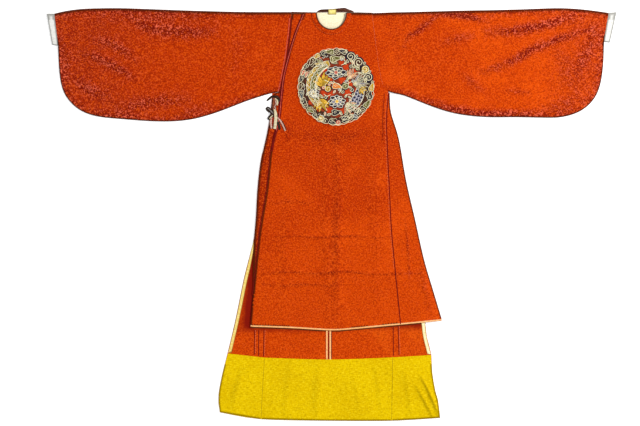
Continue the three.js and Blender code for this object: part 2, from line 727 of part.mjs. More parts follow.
// Each ribbon runs from (x1, y1) to (x2, y2) and bows to one side on its way.
const ribbonRows = [
  {
    name: 'tie_knot_left', colour: dark, width: 9, floor: level.frontOuter,
    x1: -241, y1: 432, x2: -213, y2: 446, bow: 2,
  },
  {
    name: 'tie_knot_right', colour: dark, width: 12, floor: level.trim,
    x1: -212, y1: 446, x2: -200, y2: 424, bow: 3,
  },
  {
    name: 'tie_loop_pale', colour: rose, width: 8, floor: level.frontOuter,
    x1: -211, y1: 436, x2: -203, y2: 410, bow: 2,
  },
  {
    name: 'tie_end_upper', colour: dark, width: 15, floor: level.trim,
    x1: -246, y1: 400, x2: -225, y2: 381, bow: 2,
  },
  {
    name: 'tie_end_lower', colour: dark, width: 14, floor: level.frontOuter,
    x1: -238, y1: 356, x2: -221, y2: 374, bow: 2,
  },
  {
    name: 'ribbon_broad', colour: cream, width: 11, floor: level.trim,
    x1: -210, y1: 392, x2: -216, y2: 326, bow: 3,
  },
  {
    name: 'ribbon_rose_left', colour: rose, width: 7, floor: level.frontOuter,
    x1: -229, y1: 350, x2: -228, y2: 326, bow: -2,
  },
  {
    name: 'ribbon_dark', colour: dark, width: 6, floor: level.trim,
    x1: -203, y1: 350, x2: -195, y2: 322, bow: 1,
  },
  {
    name: 'ribbon_rose_right', colour: rose, width: 6, floor: level.trim,
    x1: -194, y1: 358, x2: -178, y2: 317, bow: 1,
  },
];

function addRibbons() {
  for (const item of ribbonRows) {
    const start = new THREE.Vector2(item.x1, item.y1);
    const end = new THREE.Vector2(item.x2, item.y2);
    const side = end.clone().sub(start).normalize().rotateAround(new THREE.Vector2(), Math.PI / 2);
    const middle = start.clone().lerp(end, 0.5).addScaledVector(side, item.bow);
    add(item.name, item.colour, ribbon([start, middle, end], item.width, item.floor));
  }
}

addBack();
addSelvedges();
addHemBand();
addSideFacings();
addNeckLining();
addInnerFront();
addOuterFront();
addSleeves();
addCuffs();
addCollar();
addRoundel();
addRibbons();

// The origin lies under the middle of the whole robe.
const middle = new THREE.Box3().setFromObject(robe).getCenter(new THREE.Vector3());
robe.position.set(-middle.x, -middle.y, 0);

export default robe;
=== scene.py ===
import math
import random
import bpy
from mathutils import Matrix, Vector, kdtree, noise


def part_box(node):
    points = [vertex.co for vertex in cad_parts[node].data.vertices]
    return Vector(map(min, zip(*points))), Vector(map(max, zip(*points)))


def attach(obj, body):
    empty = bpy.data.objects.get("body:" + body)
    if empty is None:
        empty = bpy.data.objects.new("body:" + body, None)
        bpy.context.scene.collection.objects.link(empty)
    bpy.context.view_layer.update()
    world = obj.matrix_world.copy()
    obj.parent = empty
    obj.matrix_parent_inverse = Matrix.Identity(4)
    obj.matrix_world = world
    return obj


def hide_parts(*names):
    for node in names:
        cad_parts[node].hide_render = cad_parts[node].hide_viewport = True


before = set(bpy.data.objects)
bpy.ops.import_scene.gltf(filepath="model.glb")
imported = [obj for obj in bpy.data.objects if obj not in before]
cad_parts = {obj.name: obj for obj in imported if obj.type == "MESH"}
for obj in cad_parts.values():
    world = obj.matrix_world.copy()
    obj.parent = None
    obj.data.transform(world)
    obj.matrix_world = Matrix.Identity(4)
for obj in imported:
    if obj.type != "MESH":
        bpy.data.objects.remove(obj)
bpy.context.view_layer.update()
print("frame loaded:", len(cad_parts), "solids")

# camera and light
view = {
    "lens": 150,                 # mm, long, so the camera looks nearly straight down all over
    "sensor": 36,
    "widthSeen": 2.432,          # metres of floor from side to side
    "centreX": -0.0441,
    "centreY": 0.0053,
    "farthest": 60,
}
cameraHeight = view["widthSeen"] * view["lens"] / view["sensor"]
bpy.ops.object.camera_add(location=(view["centreX"], view["centreY"], cameraHeight), rotation=(0, 0, 0))
camera = bpy.context.object
camera.name = "camera"
camera.data.lens = view["lens"]
camera.data.sensor_width = view["sensor"]
camera.data.clip_end = view["farthest"]
bpy.context.scene.camera = camera
bpy.context.scene.view_settings.view_transform = "Standard"

lights = {
    "key": {"place": (5.4, 3.6, 4.0), "size": 1.8, "power": 600, "colour": (1, 0.98, 0.95)},
    "fill": {"place": (-2.2, -1.0, 3.6), "size": 3.0, "power": 40, "colour": (0.96, 0.98, 1)},
}
for name, light in lights.items():
    aim = Vector((0, 0, 0)) - Vector(light["place"])
    turn = aim.to_track_quat("-Z", "Y").to_euler()
    bpy.ops.object.light_add(type="AREA", location=light["place"], rotation=turn)
    lamp = bpy.context.object
    lamp.name = name
    lamp.data.size = light["size"]
    lamp.data.energy = light["power"]
    lamp.data.color = light["colour"]
roomLight = 0.52
world = bpy.data.worlds.new("studio")
bpy.context.scene.world = world
world.use_nodes = True
world.node_tree.nodes["Background"].inputs["Color"].default_value = (1, 1, 1, 1)
world.node_tree.nodes["Background"].inputs["Strength"].default_value = roomLight


class Wire:
    # a socket that can be added, multiplied and so on, as numbers are
    def __init__(self, tree, socket):
        self.tree = tree
        self.socket = socket

    def node(self, kind, settings, inputs, output=0):
        made = self.tree.nodes.new(kind)
        for key, value in settings.items():
            setattr(made, key, value)
        for key, value in inputs.items():
            if isinstance(value, Wire):
                self.tree.links.new(value.socket, made.inputs[key])
            else:
                made.inputs[key].default_value = value
        return Wire(self.tree, made.outputs[output])

    def maths(self, operation, first, second=0.0):
        return self.node("ShaderNodeMath", {"operation": operation}, {0: first, 1: second})

    def __add__(self, other):
        return self.maths("ADD", self, other)

    def __radd__(self, other):
        return self.maths("ADD", other, self)

    def __sub__(self, other):
        return self.maths("SUBTRACT", self, other)

    def __rsub__(self, other):
        return self.maths("SUBTRACT", other, self)

    def __mul__(self, other):
        return self.maths("MULTIPLY", self, other)

    def __rmul__(self, other):
        return self.maths("MULTIPLY", other, self)

    def sine(self):
        return self.maths("SINE", self)

    def unsigned(self):
        return self.maths("ABSOLUTE", self)

    def ramp(self, low, high):
        # 0 at low, 1 at high, smooth between
        settings = {"interpolation_type": "SMOOTHSTEP"}
        inputs = {"Value": self, "From Min": low, "From Max": high}
        return self.node("ShaderNodeMapRange", settings, inputs)

    def mix(self, first, second):
        # first where this is 0, second where it is 1
        return self.node("ShaderNodeMix", {"data_type": "RGBA"}, {0: self, 6: first, 7: second}, 2)

    def noise(self, scale, detail=2.0, roughness=0.5):
        inputs = {"Vector": self, "Scale": scale, "Detail": detail, "Roughness": roughness}
        return self.node("ShaderNodeTexNoise", {}, inputs)

    def stretched(self, x, y):
        return self.node("ShaderNodeVectorMath", {"operation": "MULTIPLY"}, {0: self, 1: (x, y, 1.0)})


def linear(red, green, blue):
    # a screen colour, 0 to 255, as the linear colour that shaders use
    def one(value):
        value = value / 255
        return value / 12.92 if value <= 0.04045 else ((value + 0.055) / 1.055) ** 2.4
    return (one(red), one(green), one(blue), 1)


finishes = {}                    # by their names here; the frame has materials of its own


def newMaterial(name):
    material = bpy.data.materials.new(name)
    finishes[name] = material
    material.use_nodes = True
    tree = material.node_tree
    tree.nodes.clear()
    place = Wire(tree, None).node("ShaderNodeTexCoord", {}, {}, 3)
    split = tree.nodes.new("ShaderNodeSeparateXYZ")
    tree.links.new(place.socket, split.inputs[0])
    x, y, z = (Wire(tree, split.outputs[index]) for index in range(3))
    return material, place, x, y, z


def named(place, attribute):
    # a value stored on the piece's own points
    settings = {"attribute_name": attribute, "attribute_type": "GEOMETRY"}
    return place.node("ShaderNodeAttribute", settings, {}, 2)


def finishMaterial(material, colour, roughness, height, depth, fixed):
    # height in millimetres of relief, depth how much of it the light sees
    tree = material.node_tree
    start = Wire(tree, None)
    bump = start.node("ShaderNodeBump", {}, {"Strength": depth, "Distance": 0.001, "Height": height})
    inputs = {"Base Color": colour, "Roughness": roughness, "Normal": bump, **fixed}
    shader = start.node("ShaderNodeBsdfPrincipled", {}, inputs)
    out = tree.nodes.new("ShaderNodeOutputMaterial")
    tree.links.new(shader.socket, out.inputs["Surface"])


def threads(x, y, pitch):
    # over and under of a fine weave, from -1 to 1
    return (x * (2 * math.pi / pitch)).sine() * (y * (2 * math.pi / pitch)).sine()


damask = {
    "low": linear(183, 50, 4),
    "middle": linear(199, 62, 4),
    "high": linear(211, 70, 6),
    "insideLow": linear(202, 68, 6),
    "insideHigh": linear(218, 82, 10),
    "shaded": linear(136, 24, 4),     # painted shade for the inner front beside the ties
    "dark": linear(104, 14, 6),       # dark specks of the grain, more of them in the painted shade of the folds
    # painted shade in the folds and beside the front's edge
    "purple": linear(126, 18, 10),
    "darkEnd": linear(140, 30, 16),
    "bright": linear(226, 92, 14),
    "rose": linear(228, 100, 70),     # painted highlights: satin floats that catch the light
    # painted shade along the cloth's free edges
    "edge": linear(70, 24, 8),
    "hem": linear(196, 160, 0),       # the band's silk, which wraps the very edge of the hem
    "repeat": 0.074,                  # metres from scroll to scroll
    "swirl": 1.4,                     # how far a scroll winds to and fro, in radians
    "thread": 0.0011,
}
slant = {"x": -0.2725, "y": -0.0785, "lean": 0.098}     # a point of the front's slanting edge


def damaskSilk(name, low="low", high="high", hem=False, shaded=False):
    material, place, x, y, z = newMaterial(name)
    colour = (y * -0.5 + place.noise(2.6, 3, 0.55)).ramp(0.35, 0.7).mix(damask[low], damask["middle"])
    # lighter in random patches, and painted light: lighter towards the right, the lamp's side
    lighter = place.noise(6.0, 4, 0.6).ramp(0.46, 0.66) * 0.6
    colour = (lighter + x * 0.8).ramp(0.0, 1.0).mix(colour, damask[high])
    # scrolls in satin on a twill ground
    k = 2 * math.pi / damask["repeat"]
    sway = place.noise(9.0, 2) * 2.0
    across = (x * k + (y * (k * 0.9)).sine() * damask["swirl"] + sway).sine()
    along = (y * (k * 0.8) + (x * (k * 0.9)).sine() * damask["swirl"] + sway).sine()
    scroll = across * along
    figure = (scroll * scroll).ramp(0.16, 0.03)
    colour = (figure * 0.14).mix(colour, damask["low"])
    if shaded:
        # painted shade: below the ties the inner front is darker, as it lies in the outer front's shade
        colour = (y.ramp(0.58, 0.46) * 0.75).mix(colour, damask["shaded"])
    # fine grain of the worn surface
    grain = place.noise(185.0, 2, 0.75)
    clumps = place.noise(100.0, 3, 0.65)
    patchy = place.noise(30.0, 3, 0.6).ramp(0.3, 0.58)
    onSleeve = x.unsigned().ramp(0.22, 0.36)
    # painted shade: purple-red in the creases' shade, patchy
    foldShade = named(place, "fold") * (0.4 + onSleeve * 0.3 + patchy * 0.7)
    colour = (foldShade * 0.85).mix(colour, damask["purple"])
    # darker in patches towards the far end of the left sleeve, the right one less so
    drift = place.noise(5.0, 3, 0.6)
    darkEnd = (drift * 0.5 - x).ramp(0.7, 1.4)
    darkEndRight = (drift * 0.4 + x).ramp(0.9, 1.3)
    colour = (darkEnd * (0.3 + patchy * 0.4)).mix(colour, damask["darkEnd"])
    colour = (darkEndRight * (0.22 + patchy * 0.36)).mix(colour, damask["darkEnd"])
    ends = darkEnd + darkEndRight
    # dark specks of the grain, thickened by the painted shade of the folds
    colour = (grain.ramp(0.5, 0.38) * (0.46 + foldShade * 0.45 + ends * 0.2)).mix(colour, damask["dark"])
    colour = (grain.ramp(0.52, 0.62) * 0.6).mix(colour, damask["bright"])
    # painted highlight: rose specks of floats catching the light, in the folds and at the sleeves' ends
    glints = onSleeve * (foldShade + ends * 0.26)
    colour = ((clumps * grain).ramp(0.26, 0.34) * (0.05 + glints * 0.75)).mix(colour, damask["rose"])
    # painted shade where the cloth rolls down at its free edges
    colour = (named(place, "rim").ramp(0.05, 0.7) * 0.92).mix(colour, damask["edge"])
    if hem:
        # the front throws its shade beside its edge and below its hem
        past = (y - slant["y"]) * slant["lean"] + slant["x"]
        beside = (x - past).ramp(-0.046, -0.008) * y.ramp(0.06, -0.06) * y.ramp(-0.452, -0.414)
        below = y.ramp(-0.458, -0.440) * x.ramp(0.08, -0.06) * 0.4
        colour = ((beside + below) * (0.74 + patchy * 0.26)).mix(colour, damask["purple"])
        colour = (y.ramp(-0.552, -0.560) * z.ramp(0.0001, 0.0003)).mix(colour, damask["hem"])
    height = threads(x, y, damask["thread"]) * 0.035 + figure * 0.06 + clumps * 0.9 + grain * 0.3
    roughness = 0.6 - figure * 0.12 + grain * 0.1
    fixed = {
        "Sheen Weight": 0.03, "Sheen Roughness": 0.4, "Sheen Tint": linear(255, 120, 40),
        "Specular IOR Level": 0.12, "Specular Tint": linear(255, 140, 40),
    }
    finishMaterial(material, colour, roughness, height, 0.6, fixed)


plainWeave = {"thread": 0.0012, "roughness": 0.55, "slubs": (80.0, 300.0), "warps": (300.0, 74.0)}


def plainSilk(name, low, high, slub, edge, tint=(255, 236, 190)):
    # plain silk with slubs that run across it
    low, high, slub, edge, tint = (linear(*shade) for shade in (low, high, slub, edge, tint))
    material, place, x, y, z = newMaterial(name)
    colour = (place.noise(7.0, 3).ramp(0.35, 0.65) * 0.35 + 0.4).mix(low, high)
    slubs = place.stretched(*plainWeave["slubs"]).noise(1.0, 2, 0.5)
    warps = place.stretched(*plainWeave["warps"]).noise(1.0, 2, 0.5)
    colour = (slubs.ramp(0.5, 0.66) * 0.6).mix(colour, slub)
    colour = (warps.ramp(0.48, 0.62) * 0.65).mix(colour, low)
    # painted shade: darker in the folds' shade and along free edges, with more dark slubs and grain there
    fold = named(place, "fold")
    grain = place.noise(170.0, 2, 0.6)
    colour = (slubs.ramp(0.44, 0.32) * (0.26 + fold * 0.4)).mix(colour, edge)
    colour = (grain.ramp(0.47, 0.34) * (0.22 + fold * 0.3)).mix(colour, edge)
    colour = (fold * 0.4).mix(colour, edge)
    colour = (named(place, "rim").ramp(0.05, 0.8) * 0.85).mix(colour, edge)
    weave = threads(x, y, plainWeave["thread"]) * 0.04
    height = weave + slubs * 0.35 + warps * 0.3 + place.noise(30.0, 2) * 0.5
    roughness = plainWeave["roughness"] + slubs * 0.12
    fixed = {
        "Sheen Weight": 0.06, "Sheen Roughness": 0.5, "Sheen Tint": tint,
        "Specular IOR Level": 0.15, "Specular Tint": tint,
    }
    finishMaterial(material, colour, roughness, height, 0.5, fixed)


flossWidth = 0.0015


def satinStitch(name, low, high, angle=25.0, rough=0.5):
    # close parallel floss at an angle
    material, place, x, y, z = newMaterial(name)
    run = x * math.cos(math.radians(angle)) + y * math.sin(math.radians(angle))
    floss = (run * (2 * math.pi / flossWidth)).sine()
    colour = (floss * 0.18 + place.noise(110.0, 3)).ramp(0.25, 0.75).mix(linear(*low), linear(*high))
    height = floss * 0.12 + place.noise(300.0, 2) * 0.15
    roughness = rough + place.noise(60.0, 2) * 0.15
    finishMaterial(material, colour, roughness, height, 0.6, {"Specular IOR Level": 0.12})


damaskSilk("silk")
damaskSilk("silkInside", "insideLow", "insideHigh", hem=True)
damaskSilk("shadedSilk", shaded=True)
plainSilks = {
    # the low, high, slub and edge colours, the edge one also painted as shade in folds and along edges; the
    # yellow one's gloss has a tint of its own
    "yellowSilk": ((208, 168, 0), (234, 200, 2), (248, 220, 30), (128, 100, 0), (255, 210, 40)),
    "tabSilk": ((230, 214, 112), (246, 236, 150), (252, 246, 184), (140, 112, 30)),
    "collarSilk": ((44, 22, 16), (84, 38, 28), (132, 78, 60), (20, 12, 8)),
    "facingSilk": ((228, 194, 92), (242, 216, 126), (250, 236, 176), (150, 108, 30)),
    "paleFacing": ((244, 230, 168), (249, 240, 198), (252, 247, 220), (196, 160, 84)),
    "creamSilk": ((238, 226, 190), (244, 236, 204), (250, 244, 218), (200, 176, 124)),
    "whiteSilk": ((224, 224, 219), (237, 236, 232), (246, 245, 241), (132, 132, 128)),
    "selvedge": ((240, 166, 96), (250, 192, 130), (255, 214, 168), (150, 78, 30)),
    "darkSilk": ((22, 14, 12), (40, 27, 23), (84, 66, 60), (14, 9, 8)),
    "roseSilk": ((168, 112, 96), (214, 172, 156), (240, 216, 204), (84, 40, 34)),
    "ribbonSilk": ((178, 160, 122), (226, 212, 176), (246, 238, 214), (96, 78, 58)),
    "greySilk": ((96, 90, 88), (140, 134, 132), (190, 184, 180), (30, 24, 22)),
    "bundleSilk": ((96, 40, 22), (152, 74, 46), (206, 132, 104), (44, 16, 8)),
    "bandSeam": ((150, 124, 0), (176, 148, 0), (190, 160, 10), (110, 90, 0)),
}
for name, colours in plainSilks.items():
    plainSilk(name, *colours)
stitches = {
    # low and high colour, the lie of the floss in degrees, and its roughness
    "seamShade": ((88, 4, 4), (124, 12, 6), 80.0, 0.8),
    "hemShade": ((84, 40, 10), (120, 60, 16), 80.0, 0.8),
    # the piping's own red, paler pink as a painted highlight on its raised edge
    "pipingWithHighlight": ((168, 34, 30), (216, 100, 82), 70.0),
    "palePick": ((206, 84, 44), (226, 116, 72), 70.0),
    "edgeCord": ((60, 34, 20), (96, 58, 34), 40.0),
}
for name, stitch in stitches.items():
    satinStitch(name, *stitch)
floorMaterial, place, x, y, z = newMaterial("floorPaper")
floorColour = place.noise(1.2, 2).ramp(0.3, 0.7).mix(linear(248, 248, 249), linear(251, 251, 251))
paper = {"Emission Color": (1, 1, 1, 1), "Emission Strength": 0.3, "Specular IOR Level": 0.2}
finishMaterial(floorMaterial, floorColour, 0.9 + place.noise(3.0) * 0.05, place.noise(60.0), 0.02, paper)
print("materials ready")

floorSheet = {"side": 16, "below": 0.0004}
bpy.ops.mesh.primitive_plane_add(size=floorSheet["side"], location=(0, 0, -floorSheet["below"]))
floor = bpy.context.object
floor.name = "floor"
floor.data.materials.append(floorMaterial)


def metres(points):
    # the tables below are in millimetres
    return [tuple(value / 1000 for value in point) for point in points]


def smoothPath(points, step):
    # a rounded line through the points, in short even steps
    line = []
    for index in range(len(points) - 1):
        p1, p2 = points[index], points[index + 1]
        p0 = points[index - 1] if index else [2 * a - b for a, b in zip(p1, p2)]
        p3 = points[index + 2] if index + 2 < len(points) else [2 * b - a for a, b in zip(p1, p2)]
        pieces = max(1, round(math.dist(p1[:2], p2[:2]) / step))
        for piece in range(pieces):
            t = piece / pieces
            line.append(tuple(
                0.5 * (2 * b + (c - a) * t + (2 * a - 5 * b + 4 * c - d) * t * t
                       + (3 * b - a - 3 * c + d) * t ** 3)
                for a, b, c, d in zip(p0, p1, p2, p3)))
    line.append(tuple(points[-1]))
    return line


def crease(height, width, shade, spread, *path):
    # a fold along its path, all in mm; shade is how dark the painted shade beside it is, and spread how wide
    line = smoothPath(metres(path), 0.02)
    reach = 3 * max(width, spread) / 1000        # past this it does nothing
    across, along = zip(*line)
    box = (min(across) - reach, max(across) + reach, min(along) - reach, max(along) + reach)
    return {"height": height, "width": width, "shade": shade, "spread": spread, "line": line, "box": box}


sleeveCreases = [
    crease(3.6, 14, 1.15, 24, (-739, 761), (-705, 723), (-591, 704), (-443, 704)),
    crease(0.8, 12, 0.6, 24, (-910, 761), (-690, 761), (-443, 750)),
    crease(2.6, 12, 0.85, 20, (-891, 674), (-827, 651), (-751, 602)),
    crease(3.4, 12, 1.2, 17, (-941, 613), (-857, 587), (-755, 530)),
    crease(2.4, 16, 0.85, 24, (-971, 518), (-918, 484), (-850, 458)),
    crease(2.0, 16, 0.55, 24, (-1024, 663), (-994, 587), (-1009, 492)),
    crease(2.6, 15, 0.8, 26, (-834, 389), (-747, 427), (-538, 450)),
    crease(1.6, 10, 0.6, 12, (-895, 389), (-812, 374), (-728, 374)),
    crease(2.0, 12, 0.5, 14, (-576, 385), (-515, 404), (-454, 435)),
    crease(1.2, 30, 0.0, 20, (-690, 587), (-538, 549), (-443, 480)),
    crease(1.0, 26, 0.18, 26, (-375, 731), (-348, 625), (-378, 511)),
    crease(4.2, 13, 1.2, 18, (594, 697), (716, 708), (853, 739), (944, 761)),
    crease(4.4, 11, 1.15, 15, (990, 712), (868, 674), (773, 636), (686, 590), (579, 545)),
    crease(3.0, 10, 0.95, 12, (408, 758), (359, 727), (309, 685), (283, 647)),
    crease(2.6, 10, 0.85, 13, (412, 769), (503, 758), (598, 739)),
    crease(3.0, 14, 0.95, 18, (378, 427), (473, 401), (583, 385), (792, 385)),
    crease(2.6, 16, 0.7, 26, (1012, 723), (990, 632), (921, 503)),
    crease(2.0, 16, 0.6, 24, (944, 465), (891, 431), (822, 401)),
    crease(1.4, 7, 0.55, 8, (663, 473), (708, 469), (754, 465)),
    crease(1.8, 14, 0.45, 16, (423, 659), (480, 674), (541, 689)),
    crease(1.6, 14, 0.35, 18, (511, 533), (541, 503), (579, 480)),
    crease(1.6, 22, 0.3, 28, (868, 625), (906, 564), (868, 495)),
    crease(1.0, 22, 0.15, 24, (245, 739), (268, 632), (252, 549)),
]
bodyCreases = [
    crease(1.8, 14, 0.38, 20, (24, 328), (28, 55), (21, -181), (24, -424)),
    crease(1.2, 18, 0.14, 18, (-17, 283), (-21, -59), (-10, -424)),
    crease(1.2, 6, 0.55, 4, (-232, -88), (-140, -81), (-50, -87), (60, -80), (160, -88), (238, -84)),
    crease(1.4, 6, 0.65, 4, (-270, -226), (-170, -217), (-60, -223), (50, -216), (170, -226), (340, -221)),
    crease(0.8, 6, 0.4, 6, (-264, -262), (-170, -268), (-90, -263), (24, -270)),
    crease(0.8, 7, 0.3, 7, (-234, 43), (-150, 51), (-67, 43)),
    crease(1.4, 24, 0.08, 24, (-162, 55), (-177, -135), (-188, -409)),
    crease(1.0, 20, 0.06, 24, (154, 283), (169, -21), (176, -363)),
    crease(1.2, 8, 0.45, 7, (199, 450), (199, 359), (195, 245)),
    crease(1.8, 14, 0.14, 14, (336, -135), (359, -268), (385, -394)),
    crease(1.2, 8, 0.42, 5, (283, -20), (292, -130), (300, -260)),
    crease(0.6, 20, 0.5, 26, (-135, 321), (-6, 298), (161, 321)),
    crease(0.0, 14, 0.3, 12, (-52, 663), (-6, 655), (55, 663)),
    crease(1.0, 5, 0.8, 4, (-178, 352), (-166, 338), (-150, 316)),
    crease(1.0, 5, 0.7, 4, (-176, 334), (-164, 318), (-152, 298)),
    crease(0.8, 5, 0.6, 4, (-170, 362), (-152, 352), (-136, 338)),
    crease(0.8, 6, 0.5, 5, (-172, 310), (-166, 290), (-163, 268)),
]
bandCreases = [
    crease(3.6, 6, 1.2, 5, (340, -614), (370, -675), (408, -762)),
    crease(2.8, 7, 1.0, 5, (321, -652), (355, -713), (382, -766)),
    crease(1.2, 10, 0.25, 9, (275, -599), (290, -675), (302, -766)),
    crease(1.6, 14, 0.2, 14, (-44, -584), (-55, -667), (-59, -770)),
    crease(1.3, 12, 0.2, 12, (78, -599), (97, -675), (104, -770)),
    crease(1.0, 12, 0.2, 12, (-154, -553), (-169, -660), (-177, -770)),
    crease(1.6, 11, 0.35, 10, (-329, -576), (-356, -645), (-378, -736)),
    crease(1.0, 11, 0.2, 10, (161, -561), (180, -667), (188, -770)),
]
shadeAside = 0.35                # how far the dark side lies from the crest, as a share of its spread
mostShade = 1.2


def creasesAt(creases, x, y):
    # height in metres and shade at a point of the cloth
    height = 0.0
    shade = 0.0
    for fold in creases:
        left, right, low, high = fold["box"]
        if not (left < x < right and low < y < high):
            continue
        line = fold["line"]
        best = None
        for index in range(len(line) - 1):
            (ax, ay), (bx, by) = line[index], line[index + 1]
            runX, runY = bx - ax, by - ay
            span = runX * runX + runY * runY
            share = min(1.0, max(0.0, ((x - ax) * runX + (y - ay) * runY) / span))
            offX, offY = x - ax - share * runX, y - ay - share * runY
            far = offX * offX + offY * offY
            if best is None or far < best[0]:
                best = (far, (index + share) / (len(line) - 1), offX + offY)
        far, along, side = best
        fade = math.sin(math.pi * min(1.0, max(0.0, 0.06 + 0.88 * along))) ** 0.7
        wide = (fold["width"] / 1000) ** 2
        height += fold["height"] / 1000 * fade * math.exp(-far / wide)
        # the side away from the lamp is the darker one
        spread = fold["spread"] / 1000
        off = math.sqrt(far) + (shadeAside * spread if side > 0 else -shadeAside * spread)
        shade += fold["shade"] * fade * math.exp(-(off / spread) ** 2)
    return height, min(mostShade, shade)


def unevenness(x, y, seed, amount):
    # the slow swell of cloth that has not been pressed, in metres
    slow = noise.noise(Vector((x * 5.0, y * 5.0, seed)))
    quick = noise.noise(Vector((x * 17.0, y * 17.0, seed + 9.0)))
    return amount * (0.7 * slow + 0.3 * quick)


badgeLow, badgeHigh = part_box("roundel")
badge = {
    "x": (badgeLow.x + badgeHigh.x) / 2,
    "y": (badgeLow.y + badgeHigh.y) / 2,
    "radius": (badgeHigh.x - badgeLow.x) / 2,
    "top": badgeHigh.z,
}


quiet = {
    "pastBadge": 0.12,           # metres from the badge's edge to where the body's relief is full
    "chest": 0.35,               # the most of it above the badge's middle
    "armhole": 0.2, "pastArmhole": 0.06,
}
swell = {"body": 0.0012, "sleeve": 0.0022, "band": 0.0012}     # metres


def bodyRelief(x, y):
    # quiet under the heavy roundel and the collar
    beyond = math.hypot(x - badge["x"], y - badge["y"]) - badge["radius"]
    calm = min(1.0, max(0.0, beyond / quiet["pastBadge"]))
    if y > badge["y"]:
        calm = min(calm, quiet["chest"])
    height, shade = creasesAt(bodyCreases, x, y)
    return max(0.0, height + unevenness(x, y, 2.0, swell["body"])) * calm, shade


def sleeveRelief(x, y):
    calm = min(1.0, max(0.0, (abs(x) - quiet["armhole"]) / quiet["pastArmhole"]))
    height, shade = creasesAt(sleeveCreases, x, y)
    return max(0.0, height + unevenness(x, y, 5.0, swell["sleeve"])) * calm, shade


def bandRelief(x, y):
    height, shade = creasesAt(bandCreases, x, y)
    return max(0.0, height + unevenness(x, y, 8.0, swell["band"])), shade


def flatRelief(x, y):
    return 0.0, 0.0


def only(piece):
    bpy.ops.object.select_all(action="DESELECT")
    piece.hide_set(False)
    piece.select_set(True)
    bpy.context.view_layer.objects.active = piece


def applyModifier(piece, kind, **settings):
    only(piece)
    modifier = piece.modifiers.new(kind.lower(), kind)
    for key, value in settings.items():
        setattr(modifier, key, value)
    bpy.ops.object.modifier_apply(modifier=modifier.name)


def rounded(piece, levels):
    applyModifier(piece, "SUBSURF", levels=levels, render_levels=levels, boundary_smooth="PRESERVE_CORNERS")


def thickened(piece, thickness):
    applyModifier(piece, "SOLIDIFY", thickness=thickness, offset=-1)


def bevelled(piece, width):
    applyModifier(piece, "BEVEL", width=width, segments=2, limit_method="ANGLE")


def editing(piece, *steps, chosen=None):
    # edit-mode operators on the chosen faces, or on all of the piece
    only(piece)
    bpy.ops.object.mode_set(mode="EDIT")
    bpy.ops.mesh.select_mode(type="FACE")
    bpy.ops.mesh.select_all(action="DESELECT" if chosen else "SELECT")
    if chosen:
        bpy.ops.object.mode_set(mode="OBJECT")
        for face in piece.data.polygons:
            face.select = chosen(face)
        bpy.ops.object.mode_set(mode="EDIT")
    for operator, settings in steps:
        operator(**settings)
    bpy.ops.object.mode_set(mode="OBJECT")


def newPiece(name, mesh):
    piece = bpy.data.objects.new(name, mesh)
    bpy.context.scene.collection.objects.link(piece)
    return piece


def meshPiece(name, vertices, faces):
    mesh = bpy.data.meshes.new(name)
    mesh.from_pydata(vertices, [], faces)
    return newPiece(name, mesh)


skin = {
    "weld": 0.00002,             # corners nearer than this are one
    "facesUp": 0.3,              # a panel's upper side looks up at least this much
    "rimEdge": 0.00135,          # a tube's end faces have an edge as short as its wall
}


def weldedCopy(node, name):
    # the solid's form as one closed surface of its own
    piece = newPiece(name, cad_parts[node].data.copy())
    piece.data.materials.clear()
    only(piece)
    bpy.ops.mesh.customdata_custom_splitnormals_clear()
    editing(piece, (bpy.ops.mesh.remove_doubles, {"threshold": skin["weld"]}))
    return piece


def dropFaces(piece, unwanted):
    editing(piece, (bpy.ops.mesh.delete, {"type": "FACE"}), chosen=unwanted)


def squareUp(piece):
    editing(piece, (bpy.ops.mesh.tris_convert_to_quads, {"face_threshold": 1.2, "shape_threshold": 1.2}))


def topSkin(node, name):
    piece = weldedCopy(node, name)
    dropFaces(piece, lambda face: face.normal.z < skin["facesUp"])
    squareUp(piece)
    return piece


def tubeSkin(node, name):
    # the outer of a tube's two surfaces
    piece = weldedCopy(node, name)

    def atTheEnd(face):
        corners = [piece.data.vertices[index].co for index in face.vertices]
        return min((a - b).length for a, b in zip(corners, corners[1:] + corners[:1])) < skin["rimEdge"]

    dropFaces(piece, atTheEnd)
    editing(piece, (bpy.ops.mesh.separate, {"type": "LOOSE"}))
    halves = sorted(bpy.context.selected_objects, key=lambda half: max(v.co.z for v in half.data.vertices))
    outer = halves[-1]
    for half in halves[:-1]:
        bpy.data.objects.remove(half)
    outer.name = name
    squareUp(outer)
    lowest = min(outer.data.polygons, key=lambda face: face.center.z)
    if lowest.normal.z > 0:
        editing(outer, (bpy.ops.mesh.flip_normals, {}))
    return outer


def edgePoints(mesh, wanted):
    # the points on the edges that are wanted, from how far up the faces beside each one look
    sides = {}
    for face in mesh.polygons:
        for key in face.edge_keys:
            sides.setdefault(key, []).append(face.normal.z)
    found = {index for key, ups in sides.items() if wanted(ups) for index in key}
    return [mesh.vertices[index].co.copy() for index in found]


def turnedEdges(mesh):
    # where a flattened tube turns from its upper to its lower layer
    return edgePoints(mesh, lambda ups: min(ups) < 0 < max(ups))


def openEdges(mesh):
    # the edges that only one face uses
    return edgePoints(mesh, lambda ups: len(ups) == 1)


def treeOf(points):
    tree = kdtree.KDTree(len(points))
    for index, point in enumerate(points):
        tree.insert((point[0], point[1], 0), index)
    tree.balance()
    return tree


seamReach = 0.0040               # edges nearer than this are sewn to each other
rimWidth = 0.0075                # how far in from a free edge the cloth is painted darker, as shade where it rolls down
shoulder = {"from": 0.74, "wider": 2.1}   # the painted shade is widest along the fold at the shoulders
settling = 0.001                 # the relief grows over this height above the lower layer
smoothUnder = 50                 # degrees; sharper edges than this stay sharp


def sleeveEdgeShade(near, reach=0.034):
    # painted shade along a sleeve's turned edges, where the cloth rolls under
    return 0.7 * max(0.0, 1 - near / reach)


